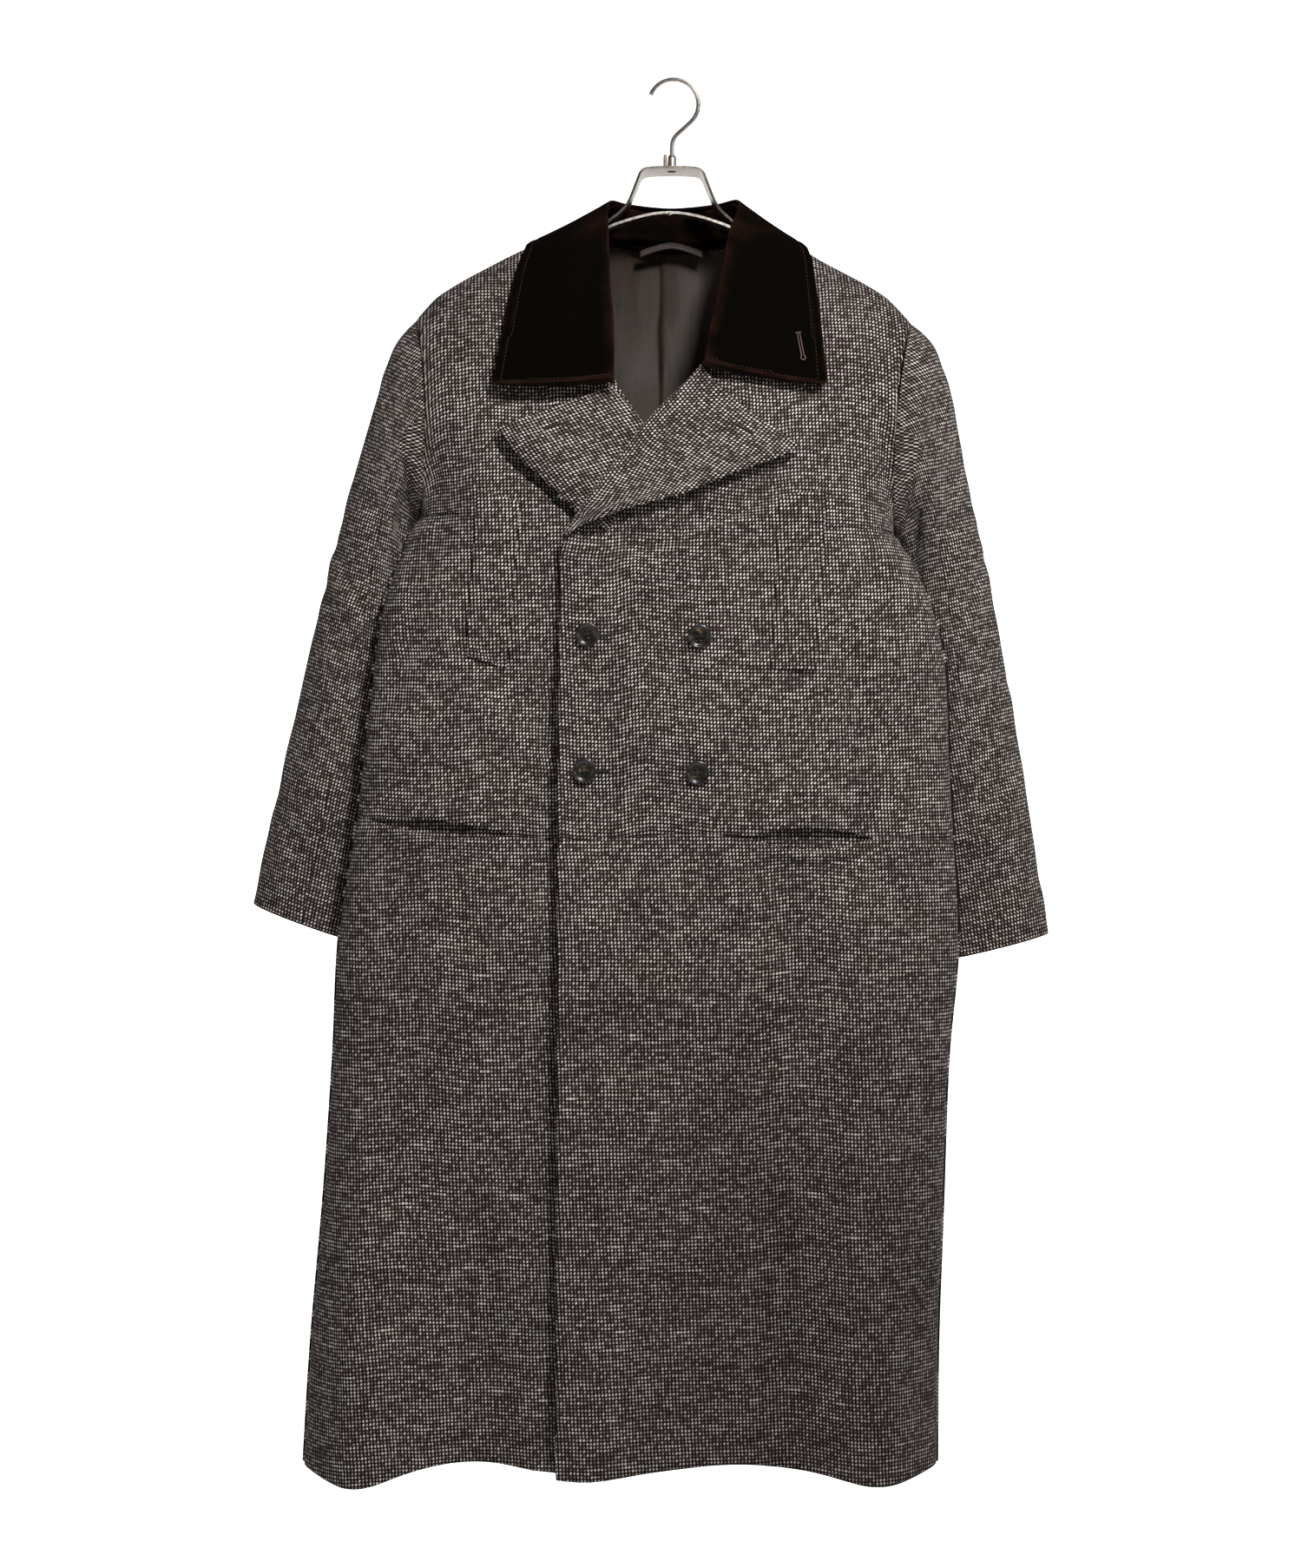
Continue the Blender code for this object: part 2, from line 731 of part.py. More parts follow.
def collar_fall(finish):
    rows, columns = 52, 5
    outer = [[collar_point(i / rows, j / columns) for j in range(columns + 1)] for i in range(rows + 1)]
    inner = []
    for i in range(rows + 1):
        line = []
        for j in range(columns + 1):
            along = outer[min(i + 1, rows)][j] - outer[max(i - 1, 0)][j]
            across = outer[i][min(j + 1, columns)] - outer[i][max(j - 1, 0)]
            s = i / rows
            out = Vector((0, read(COLLAR, "out_y", s), read(COLLAR, "out_z", s)))
            normal = along.cross(across).normalized()
            line.append(outer[i][j] - VELVET * (normal if normal.dot(out) > 0 else -normal))
        inner.append(line)
    return wall("collar_fall", outer, inner, finish)


def collar_stand(finish):
    """Band that rises from the neckline to the roll."""
    steps = 20
    outer, inner = [], []
    for level in (0.0, 0.5, 1.0):
        outer_line, inner_line = [], []
        for i in range(steps + 1):
            s = blend(STAND_SPAN[0], STAND_SPAN[1], i / steps)
            across = blend(-1, 1, i / steps)
            x = NECK_MIDDLE + STAND_FOOT_HALF * math.sin(across * math.pi / 2)
            depth = math.sqrt(max(0.0, 1 - ((x - NECK_MIDDLE) / NECK_HALF) ** 2))
            foot = Vector((x, NECK_DEPTH * depth, seam_z(x) + LAY_GAP))
            roll = Vector([read(COLLAR, "roll_" + axis, s) for axis in "xyz"])
            inward = Vector((NECK_MIDDLE - roll.x, -roll.y - 20, 0)).normalized()
            head = roll + inward * STAND_BEHIND - Vector((0, 0, STAND_BELOW))
            point = foot.lerp(head, level)
            outer_line.append(point)
            inner_line.append(point + STAND * inward)
        outer.append(outer_line)
        inner.append(inner_line)
    return wall("collar_stand", outer, inner, finish)


def hanger_loop(finish):
    steps = 10
    outer, inner = [], []
    for level in (0.0, 1.0):
        outer_line, inner_line = [], []
        for i in range(steps + 1):
            x = NECK_MIDDLE + blend(-LOOP_HALF, LOOP_HALF, i / steps)
            rise = LOOP_RISE * (1 - ((x - NECK_MIDDLE) / LOOP_HALF) ** 2)
            z = NECK_Z - NECK_DIP - LOOP_BELOW + rise + level * LOOP_WIDTH
            row = row_at(x, z)
            point = body_point(1, row, across_at(1, row, x))
            normal = body_normal(1, row, across_at(1, row, x))
            depth = TWEED + LAY_GAP + LINING + LOOP_GAP
            outer_line.append(point - depth * normal)
            inner_line.append(point - (depth + LOOP_THICK) * normal)
        outer.append(outer_line)
        inner.append(inner_line)
    return wall("hanger_loop", outer, inner, finish)


# Buttons

def button(name, place, finish):
    """Turned horn button: a dished face inside a rounded rim, with four holes."""
    steps = 24
    top, dish = BUTTON_THICK, BUTTON_THICK - BUTTON_DISH
    profile = [
        (BUTTON_RADIUS - BUTTON_CHAMFER, 0.0), (BUTTON_RADIUS, BUTTON_CHAMFER), (BUTTON_RADIUS, top - BUTTON_CROWN),
        (BUTTON_RADIUS - BUTTON_CROWN, top), (BUTTON_RADIUS - BUTTON_RIM, top),
        (BUTTON_RADIUS - BUTTON_RIM - BUTTON_SLOPE, dish),
    ]
    centre = Vector((place.x, front_y(1, place.x, place.z) - LAY_GAP, place.z))
    points, faces = [], []
    for radius, out in profile:
        for k in range(steps):
            angle = 2 * math.pi * k / steps
            points.append(centre + Vector((radius * math.cos(angle), -out, radius * math.sin(angle))))
    for i in range(len(profile) - 1):
        for k in range(steps):
            after = (k + 1) % steps
            low, high = i * steps, (i + 1) * steps
            faces.append((low + k, low + after, high + after, high + k))
    faces.append(tuple(range(steps)))
    faces.append(tuple(range((len(profile) - 1) * steps, len(profile) * steps)))
    made = solid(name, points, faces, finish)
    cutter = button_holes(name, centre, finish)
    cut = made.modifiers.new("holes", "BOOLEAN")
    cut.operation = "DIFFERENCE"
    cut.object = cutter
    return made


def button_holes(name, centre, finish):
    sides = 8
    points, faces = [], []
    for dx in (-1, 1):
        for dz in (-1, 1):
            first = len(points)
            for out in (-3.0, BUTTON_THICK + 3.0):
                for k in range(sides):
                    angle = 2 * math.pi * k / sides
                    points.append(centre + Vector((
                        dx * BUTTON_HOLE_PITCH + BUTTON_HOLE * math.cos(angle), -out,
                        dz * BUTTON_HOLE_PITCH + BUTTON_HOLE * math.sin(angle),
                    )))
            for k in range(sides):
                after = (k + 1) % sides
                faces.append((first + k, first + after, first + sides + after, first + sides + k))
            faces.append(tuple(range(first, first + sides)))
            faces.append(tuple(range(first + sides, first + 2 * sides)))
    cutter = solid(name + "_holes", points, faces, finish)
    cutter.hide_render = True
    cutter.display_type = "WIRE"
    return cutter


# Hanger

def wire(name, route, radius, finish):
    curve = bpy.data.curves.new(name, "CURVE")
    curve.dimensions = "3D"
    curve.bevel_depth = radius * METRES
    curve.bevel_resolution = 2
    curve.use_fill_caps = True
    line = curve.splines.new("POLY")
    line.points.add(len(route) - 1)
    for point, place in zip(line.points, route):
        point.co = (*(place * METRES), 1)
    curve.materials.append(finish)
    made = bpy.data.objects.new(name, curve)
    bpy.context.scene.collection.objects.link(made)
    return made


def hook_route():
    """Open circle, then an S-bend into the upright neck."""
    centre_z = HOOK_WIRE - HOOK_RADIUS
    route = []
    steps = 22
    for i in range(steps + 1):
        angle = blend(HOOK_TIP, HOOK_SWEEP_END, i / steps)
        route.append(Vector((HOOK_RADIUS * math.cos(angle), 0, centre_z + HOOK_RADIUS * math.sin(angle))))
    start = route[-1]
    lead = Vector((math.sin(HOOK_SWEEP_END), 0, -math.cos(HOOK_SWEEP_END))) * HOOK_LEAD
    end = Vector((NECK_X, 0, HOOK_BEND_END))
    shank = end + Vector((0, 0, HOOK_SHANK))
    for i in range(1, 11):
        t = i / 10
        a = start.lerp(start + lead, t)
        b = (start + lead).lerp(shank, t)
        c = shank.lerp(end, t)
        route.append(a.lerp(b, t).lerp(b.lerp(c, t), t))
    route.append(Vector((NECK_X, 0, FERRULE_TOP + SEAM_GAP)))
    return route


def lathe(name, profile, finish, steps=16):
    """Solid of revolution about the neck's axis; profile rows are radius and z."""
    points, faces = [], []
    for radius, z in profile:
        for k in range(steps):
            angle = 2 * math.pi * k / steps
            points.append(Vector((NECK_X + radius * math.cos(angle), radius * math.sin(angle), z)))
    for i in range(len(profile) - 1):
        for k in range(steps):
            after = (k + 1) % steps
            faces.append((i * steps + k, i * steps + after, (i + 1) * steps + after, (i + 1) * steps + k))
    faces.append(tuple(range(steps)))
    faces.append(tuple(range((len(profile) - 1) * steps, len(profile) * steps)))
    return solid(name, points, faces, finish)


def strip(name, route, finish):
    """Flat metal strip bent along a route in the plane of the hanger."""
    steps = 3
    places = []
    for i in range(len(route) - 1):
        for k in range(steps):
            t = (i * steps + k) / steps
            places.append(t)
    places.append(float(len(route) - 1))
    Step = namedtuple("Step", "at x z half")
    table = [Step(i, *place) for i, place in enumerate(route)]
    outer, inner = [], []
    for t in places:
        here = Vector((read(table, "x", t), 0, read(table, "z", t)))
        ahead = Vector((read(table, "x", t + 0.05) - read(table, "x", t - 0.05), 0,
                        read(table, "z", t + 0.05) - read(table, "z", t - 0.05))).normalized()
        up = Vector((-ahead.z, 0, ahead.x))
        half = Vector((0, read(table, "half", t), 0))
        outer.append([here - half, here + half])
        inner.append([here - up * BAND_THICK - half, here - up * BAND_THICK + half])
    return wall(name, outer, inner, finish)


def hanger_arm(name, side, finish):
    """Rounded bar that carries a shoulder, from the band's foot to the shoulder point."""
    steps, sides = 12, 12
    end = abs((SHOULDER_SEAM[0] if side < 0 else SHOULDER_SEAM[-1]).x) - ARM_SHORT
    points, faces = [], []
    for i in range(steps + 1):
        x = side * blend(ARM_START, end, i / steps)
        top = min(seam_z(x), read(SHOULDER_SEAM, "z", x)) if abs(x) > NECK_HALF else NECK_Z - ARM_STEP
        taper = 1.0 if 0 < i < steps else ARM_TAPER
        for k in range(sides):
            angle = 2 * math.pi * k / sides
            points.append(Vector((
                x, ARM_Y + ARM_RADIUS * taper * math.cos(angle),
                top - ARM_SINK - ARM_RADIUS + ARM_RADIUS * taper * math.sin(angle),
            )))
    for i in range(steps):
        for k in range(sides):
            after = (k + 1) % sides
            faces.append((i * sides + k, i * sides + after, (i + 1) * sides + after, (i + 1) * sides + k))
    faces.append(tuple(range(sides)))
    faces.append(tuple(range(steps * sides, (steps + 1) * sides)))
    return solid(name, points, faces, finish)


def clear_scene():
    for made in list(bpy.data.objects):
        bpy.data.objects.remove(made, do_unlink=True)


def main():
    clear_scene()
    tweed = material("tweed", (0.075, 0.06, 0.055), 0.9)
    velvet = material("velvet", (0.03, 0.012, 0.009), 0.85)
    lining = material("lining", (0.075, 0.06, 0.055), 0.5)
    horn = material("horn", (0.03, 0.025, 0.02), 0.3)
    metal = material("metal", (0.75, 0.74, 0.72), 0.35, 1.0)

    front_wall("front_right_upper", 1, chest_rows(), tweed)
    front_wall("front_right_skirt", 1, skirt_rows(), tweed)
    front_wall("front_left_upper", -1, chest_rows(), tweed)
    front_wall("front_left_skirt", -1, skirt_rows(), tweed)
    whole_back = range(BACK_COLUMNS + 1)
    back_layer("back", range(ARMHOLE_STEPS + CHEST_STEPS + SKIRT_STEPS + 1), whole_back, 0.0, TWEED, tweed)
    for side, word in ((-1, "left"), (1, "right")):
        sleeve_wall("sleeve_%s_top" % word, side, -SLEEVE_SPLIT, SLEEVE_SPLIT, tweed)
        sleeve_wall("sleeve_%s_under" % word, side, SLEEVE_SPLIT, 2 * math.pi - SLEEVE_SPLIT, tweed)
    lapel_wall("lapel_right", 1, OVER_LAPEL, 10, 6, tweed)
    lapel_wall("lapel_left", -1, UNDER_LAPEL, 8, 6, tweed)
    for name in WELTS:
        welt_wall(name, tweed)
    for pocket, name in zip(POCKETS, ("pocket_facing_left", "pocket_facing_right")):
        pocket_facing(name, pocket, tweed)
    collar_stand(velvet)
    collar_fall(velvet)
    seen_back = range(BACK_COLUMNS // 2 - 3, BACK_COLUMNS // 2 + 4)
    back_layer("lining_back", range(ARMHOLE_STEPS + 3), seen_back, TWEED + LAY_GAP, LINING, lining)
    hanger_loop(lining)
    for place, name in zip(BUTTONS, ("button_1", "button_2", "button_3", "button_4")):
        button(name, place, horn)
    wire("hanger_hook", hook_route(), HOOK_WIRE, metal)
    lathe("hanger_ferrule", [
        (FERRULE_RADIUS * 0.75, FERRULE_TOP), (FERRULE_RADIUS, FERRULE_TOP - 2.5), (FERRULE_RADIUS, FERRULE_BOTTOM),
    ], metal)
    strip("hanger_band", BAND_ROUTE, metal)
    strip("hanger_bow", BOW_ROUTE, metal)
    for side, word in ((-1, "left"), (1, "right")):
        hanger_arm("hanger_arm_" + word, side, metal)


main()
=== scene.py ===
"""Looks of a long double-breasted tweed overcoat on its metal hanger.

The coat's sizes are millimetres, turned into metres where a mesh is made. The studio
and the patterns of the finishes are in metres. +X is the viewer's right, +Y points
away from the viewer, +Z is up, and the origin is the crown of the hook's inside. Left
and right are the viewer's.
"""

import json
import math
from collections import namedtuple

import bmesh
import bpy
import numpy as np
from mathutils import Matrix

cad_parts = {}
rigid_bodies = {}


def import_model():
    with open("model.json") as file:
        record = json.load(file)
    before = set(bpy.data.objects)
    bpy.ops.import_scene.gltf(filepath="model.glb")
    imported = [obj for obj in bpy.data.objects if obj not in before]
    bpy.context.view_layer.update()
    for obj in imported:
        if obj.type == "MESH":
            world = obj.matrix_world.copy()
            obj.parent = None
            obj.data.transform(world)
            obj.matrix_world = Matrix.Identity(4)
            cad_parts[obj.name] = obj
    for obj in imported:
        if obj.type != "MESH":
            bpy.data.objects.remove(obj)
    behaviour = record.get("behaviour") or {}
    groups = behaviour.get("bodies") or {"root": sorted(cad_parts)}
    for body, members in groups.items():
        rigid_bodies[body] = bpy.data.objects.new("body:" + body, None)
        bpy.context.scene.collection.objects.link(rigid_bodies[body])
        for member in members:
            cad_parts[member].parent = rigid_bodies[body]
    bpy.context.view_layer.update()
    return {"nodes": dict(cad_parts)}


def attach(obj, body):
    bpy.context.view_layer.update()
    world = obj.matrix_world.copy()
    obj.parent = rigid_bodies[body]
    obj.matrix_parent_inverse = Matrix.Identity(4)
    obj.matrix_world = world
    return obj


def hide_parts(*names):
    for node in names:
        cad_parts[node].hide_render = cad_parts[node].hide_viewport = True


for made in list(bpy.data.objects):
    bpy.data.objects.remove(made, do_unlink=True)
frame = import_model()
nodes = frame["nodes"]

# Studio: a white sweep of paper behind and under the coat that glows where it is seen,
# one lamp high in front, a weaker one on each side, and a camera level with the middle.
METRES = 0.001
CAMERA_PLACE = (-0.0234, -2.6, -0.7281)
FRAME_HEIGHT = 1.6254
SENSOR = 36.0
FLOOR_Z = -2.2
WALL_Y = 5.2
SWEEP_RADIUS = 1.0
SWEEP_STEPS = 16
PAPER_FRONT_Y = -6.0
PAPER_TOP_Z = 3.5
PAPER_HALF = 5.0
PAPER_WHITE = (0.93, 0.93, 0.93, 1)
GLOW_START_Y = -0.2
GLOW_FULL_Y = 1.4
GLOW_LEAST = 0.08
ROOM_LIGHT = 0.05

camera_data = bpy.data.cameras.new("camera")
camera_data.sensor_fit = "VERTICAL"
camera_data.sensor_height = SENSOR
camera_data.lens = SENSOR * -CAMERA_PLACE[1] / FRAME_HEIGHT
camera = bpy.data.objects.new("camera", camera_data)
camera.location = CAMERA_PLACE
camera.rotation_euler = (math.pi / 2, 0, 0)
bpy.context.scene.collection.objects.link(camera)
bpy.context.scene.camera = camera
bpy.context.scene.view_settings.view_transform = "Standard"

profile = [(PAPER_FRONT_Y, FLOOR_Z), (WALL_Y - SWEEP_RADIUS, FLOOR_Z)]
for step in range(1, SWEEP_STEPS + 1):
    turn = math.pi / 2 * step / SWEEP_STEPS
    profile.append((
        WALL_Y - SWEEP_RADIUS + SWEEP_RADIUS * math.sin(turn),
        FLOOR_Z + SWEEP_RADIUS * (1 - math.cos(turn)),
    ))
profile.append((WALL_Y, PAPER_TOP_Z))
paper_points = []
for y, z in profile:
    paper_points += [(-PAPER_HALF, y, z), (PAPER_HALF, y, z)]
paper_faces = [(2 * k, 2 * k + 1, 2 * k + 3, 2 * k + 2) for k in range(len(profile) - 1)]
paper_mesh = bpy.data.meshes.new("paper")
paper_mesh.from_pydata(paper_points, [], paper_faces)
paper_mesh.shade_smooth()
paper = bpy.data.objects.new("paper", paper_mesh)
bpy.context.scene.collection.objects.link(paper)
paper_finish = bpy.data.materials.new("paper_white")
paper_finish.use_nodes = True
paper_shader = paper_finish.node_tree.nodes["Principled BSDF"]
paper_shader.inputs["Base Color"].default_value = PAPER_WHITE
paper_shader.inputs["Roughness"].default_value = 0.95
paper_shader.inputs["Emission Strength"].default_value = 1.0
paper_links = paper_finish.node_tree.links
paper_place = paper_finish.node_tree.nodes.new("ShaderNodeTexCoord")
paper_depth = paper_finish.node_tree.nodes.new("ShaderNodeSeparateXYZ")
paper_glow = paper_finish.node_tree.nodes.new("ShaderNodeMapRange")
paper_glow.interpolation_type = "SMOOTHSTEP"
paper_glow.inputs["From Min"].default_value = GLOW_START_Y
paper_glow.inputs["From Max"].default_value = GLOW_FULL_Y
paper_glow.inputs["To Min"].default_value = GLOW_LEAST
paper_links.new(paper_place.outputs["Object"], paper_depth.inputs[0])
paper_links.new(paper_depth.outputs["Y"], paper_glow.inputs["Value"])
paper_links.new(paper_glow.outputs[0], paper_shader.inputs["Emission Color"])
paper_mesh.materials.append(paper_finish)

Lamp = namedtuple("Lamp", "name place aim size power")
LAMPS = [
    Lamp("key", (0.70, -1.90, 1.05), (0.0, 0.0, -0.50), 0.45, 74),
    Lamp("fill_left", (-2.2, -2.6, -0.5), (0.0, 0.0, -0.9), 1.6, 11),
    Lamp("fill_right", (2.6, -1.2, -0.1), (0.0, 0.0, -0.6), 1.4, 9),
]
for lamp in LAMPS:
    data = bpy.data.lights.new(lamp.name, "AREA")
    data.shape = "DISK"
    data.size = lamp.size
    data.energy = lamp.power
    lamp_object = bpy.data.objects.new(lamp.name, data)
    lamp_object.location = lamp.place
    aim = np.array(lamp.aim) - np.array(lamp.place)
    flat_run = math.hypot(aim[0], aim[1])
    lamp_object.rotation_euler = (math.atan2(flat_run, -aim[2]), 0, math.atan2(-aim[0], aim[1]))
    bpy.context.scene.collection.objects.link(lamp_object)
world = bpy.data.worlds.new("studio")
world.use_nodes = True
world.node_tree.nodes["Background"].inputs["Color"].default_value = (1, 1, 1, 1)
world.node_tree.nodes["Background"].inputs["Strength"].default_value = ROOM_LIGHT
bpy.context.scene.world = world

# Tweed: a heavy woollen cloth with a dark brown warp and a pale slubby weft. Each
# weft float shows as a short leaning dash, and the yarn is uneven and hairy.
PITCH_ACROSS = 0.00352
PITCH_DOWN = 0.00372
DASH_LEAN = 0.34
DASH_LEAN_LOST = 0.16
DASH_HALF_WIDTH = 0.23
DASH_HALF_HEIGHT = 0.33
DASH_VARIES = 0.06
SLUB_WIDENS = 0.17
YARN_WANDERS = 0.5
WANDER_SCALE = 45.0
HAIR_SCALE = 2600.0
BLOTCH_SCALE = 16.0
WEAVE_BUMP = 0.0006
ROW_DRIFT = 0.04
# Heights where the skirt's weave turns more upright and slubby, and where its painted shade starts.
SKIRT_WEAVE_AND_SHADE_Z = (-0.70, -1.05)
# Painted shade: the tops of the shoulders are darkened in the tweed's colour.
SHOULDER_SHADE_Z = (-0.36, -0.20)
SHOULDER_PAINTED_SHADE = 0.28
# Painted shade: the lower right skirt is darkened in the tweed's colour.
RIGHT_SKIRT_SHADE_Z = (-0.80, -1.20)
RIGHT_SKIRT_SHADE_X = (-0.15, 0.10)
RIGHT_SKIRT_PAINTED_SHADE = 0.30
# Painted shade: the pale weft fades on the skirt, darker towards the hem.
SKIRT_PAINTED_SHADE = 0.16
WARP_DARK = (0.0040, 0.0020, 0.0017, 1)
WARP_BROWN = (0.024, 0.013, 0.011, 1)
WEFT_GREY = (0.175, 0.145, 0.132, 1)
WEFT_PALE = (0.800, 0.730, 0.680, 1)


class Shade:
    """A shader socket that takes Python's arithmetic and adds the nodes for it."""

    def __init__(self, tree, socket=None):
        self.tree = tree
        self.socket = socket

    def node(self, kind, settings, inputs, output=0):
        made = self.tree.nodes.new(kind)
        for name, value in settings.items():
            setattr(made, name, value)
        for key, value in inputs.items():
            if isinstance(value, Shade):
                self.tree.links.new(value.socket, made.inputs[key])
            else:
                made.inputs[key].default_value = value
        return Shade(self.tree, made.outputs[output])

    def maths(self, operation, *values):
        return self.node("ShaderNodeMath", {"operation": operation}, dict(enumerate(values)))

    def __add__(self, other):
        return self.maths("ADD", self, other)

    def __sub__(self, other):
        return self.maths("SUBTRACT", self, other)

    def __rsub__(self, other):
        return self.maths("SUBTRACT", other, self)

    def __mul__(self, other):
        return self.maths("MULTIPLY", self, other)

    def __truediv__(self, other):
        return self.maths("DIVIDE", self, other)

    def __pow__(self, other):
        return self.maths("POWER", self, other)

    __radd__ = __add__
    __rmul__ = __mul__

    def part(self, axis):
        return self.node("ShaderNodeSeparateXYZ", {}, {0: self}, "XYZ"[axis])

    def between(self, low, high, start=0.0, end=1.0):
        return self.node(
            "ShaderNodeMapRange", {"interpolation_type": "SMOOTHSTEP"},
            {"Value": self, "From Min": low, "From Max": high, "To Min": start, "To Max": end},
        )

    def tint(self, low, high):
        return self.node("ShaderNodeMix", {"data_type": "RGBA"}, {0: self, 6: low, 7: high}, 2)

    def place(self, scale):
        return self.node("ShaderNodeMapping", {}, {"Vector": self, "Scale": scale})

    def noise(self, scale, detail=2.0, output="Fac"):
        inputs = {"Vector": self, "Scale": scale, "Detail": detail}
        return self.node("ShaderNodeTexNoise", {}, inputs, output)


def new_finish(name, roughness, sheen=0.0, sheen_tint=(1, 1, 1, 1)):
    """A material with its shader and the socket that its pattern starts from."""
    finish = bpy.data.materials.new(name)
    finish.use_nodes = True
    shader = finish.node_tree.nodes["Principled BSDF"]
    shader.inputs["Roughness"].default_value = roughness
    shader.inputs["Sheen Weight"].default_value = sheen
    shader.inputs["Sheen Tint"].default_value = sheen_tint
    shade = Shade(finish.node_tree)
    return finish, shader, shade


def feed(shader, socket, value):
    """Link a pattern to one of a finish's sockets."""
    value.tree.links.new(value.socket, shader.inputs[socket])


def bump(shader, shade, height, strength, distance):
    """Give a finish a fine relief."""
    feed(shader, "Normal", shade.node(
        "ShaderNodeBump", {}, {"Strength": strength, "Distance": distance, "Height": height}, "Normal"))


tweed, shader, shade = new_finish("tweed_cloth", 0.95, 0.02, (0.85, 0.78, 0.72, 1))
shader.inputs["Specular IOR Level"].default_value = 0.12
grain = shade.node("ShaderNodeUVMap", {"uv_map": "grain"}, {}, "UV")
form = shade.node("ShaderNodeTexCoord", {}, {}, "Object")
wander = grain.noise(WANDER_SCALE, 3.0, "Color")
lower = form.part(2).between(*SKIRT_WEAVE_AND_SHADE_Z)
# Painted shade darkens the tweed on the tops of the shoulders.
tone = 1.0 - form.part(2).between(*SHOULDER_SHADE_Z) * SHOULDER_PAINTED_SHADE
# Painted shade darkens the lower right skirt.
tone = tone - form.part(2).between(*RIGHT_SKIRT_SHADE_Z) * form.part(0).between(*RIGHT_SKIRT_SHADE_X) * RIGHT_SKIRT_PAINTED_SHADE
u = grain.part(0) / PITCH_ACROSS + (wander.part(0) - 0.5) * YARN_WANDERS
v = grain.part(1) / PITCH_DOWN + (wander.part(1) - 0.5) * YARN_WANDERS
weft_row = shade.maths("FLOOR", v)
u = u + weft_row * ROW_DRIFT
warp_column = shade.maths("FLOOR", u)
across_cell = u - warp_column - 0.5
up_cell = v - weft_row - 0.5
cell = shade.node("ShaderNodeCombineXYZ", {}, {"X": warp_column, "Y": weft_row})
chance = shade.node("ShaderNodeTexWhiteNoise", {"noise_dimensions": "2D"}, {"Vector": cell}, "Value")
other_cell = shade.node("ShaderNodeVectorMath", {"operation": "ADD"}, {0: cell, 1: (37.2, 11.7, 0)})
second = shade.node("ShaderNodeTexWhiteNoise", {"noise_dimensions": "2D"}, {"Vector": other_cell}, "Value")
yarn = shade.node("ShaderNodeCombineXYZ", {}, {"X": u * 0.16, "Y": weft_row * 1.7}).noise(1.0, 2.0)
slub = yarn.between(0.60, 0.76) * (0.45 + lower * 0.55)
half_width = DASH_HALF_WIDTH + chance * DASH_VARIES + slub * SLUB_WIDENS
half_height = DASH_HALF_HEIGHT + second * DASH_VARIES
lean = across_cell - up_cell * (DASH_LEAN - lower * DASH_LEAN_LOST)
reach = (lean / half_width) ** 2.0 + (up_cell / half_height) ** 2.0
dash = reach.between(1.35, 0.45)
pale = (chance * 0.75 + (yarn - 0.5) * 1.6 + 0.12).between(0.0, 1.0)
hair = grain.noise(HAIR_SCALE, 2.0)
patch_tone = grain.noise(BLOTCH_SCALE, 3.0)
weft = pale.tint(WEFT_GREY, WEFT_PALE)
warp = (hair * 0.8 + patch_tone * 0.5 - 0.25).between(0.15, 0.75).tint(WARP_DARK, WARP_BROWN)
strength = dash * (0.72 + patch_tone * 0.4) * (0.9 + hair * 0.15)
# Painted shade: the skirt's weft is dimmed, darker towards the hem.
strength = strength * (1.0 - lower * SKIRT_PAINTED_SHADE) * tone
feed(shader, "Base Color", strength.tint(warp, weft))
bump(shader, shade, dash + hair * 0.15, 0.25, WEAVE_BUMP)

# Fronts: two tweed panels cut to the waist seam and two skirts below it. The right
# one laps over the left one, and each waist seam is left open for a pocket.
TWEED = 2.2
SEAM_SINK = 0.6
SEAM_REACH = 2.6
LAY_GAP = 0.6
HALF_SEAM = 0.15
UNDER_LAP = 8.5
UNDER_LAP_X = -260.0
UNDER_LAP_RUN = 130.0
NECK_HALF = 94.0
NECK_MIDDLE = -1.0
NECK_Z = -152.0
NECK_DIP = 13.0
NECK_DEPTH = 45.0
FRONT_DEPTH = 95.0
BACK_DEPTH = 52.0
ARMHOLE_DEPTH = 52.0
ARMHOLE_BOW = 10.0
FRONT_POWER = 2.5
BACK_POWER = 2.0
ARMHOLE_TURN = math.radians(60)
HEM_Z = -1423.0
HEM_DIP = 0.4
FOLD_TOP = -930.0
BROAD_WAVE = 0.8
SMALL_WAVE = 0.3
CREASE_BOW = 0.08
CREASE_OVER = 0.2
CREASE_FADE = 0.45
ROW_LIMIT = 2.2

Seam = namedtuple("Seam", "x z")
SHOULDER_SEAM = [
    Seam(-266, -247), Seam(-242, -222), Seam(-179, -186), Seam(-140, -168), Seam(-95, NECK_Z),
    Seam(93, NECK_Z), Seam(120, -166), Seam(151, -185), Seam(217, -222), Seam(245, -250),
]
Side = namedtuple("Side", "z x y")
LEFT_SIDE = [
    Side(-452, -262, 8), Side(-466, -271, 0), Side(-482, -277, -9), Side(-544, -297, -25),
    Side(-654, -312, -28), Side(-766, -325, -28), Side(-877, -342, -27), Side(-1010, -349, -25),
    Side(-1153, -359, -22), Side(-1300, -372, -20), Side(-1425, -380, -18),
]
RIGHT_SIDE = [
    Side(-470, 228, 8), Side(-482, 235, 0), Side(-497, 243, -9), Side(-536, 261, -22),
    Side(-602, 277, -27), Side(-708, 282, -28), Side(-779, 286, -28), Side(-887, 291, -27),
    Side(-1010, 281, -25), Side(-1153, 276, -22), Side(-1300, 271, -20), Side(-1425, 270, -18),
]
Depth = namedtuple("Depth", "z front back")
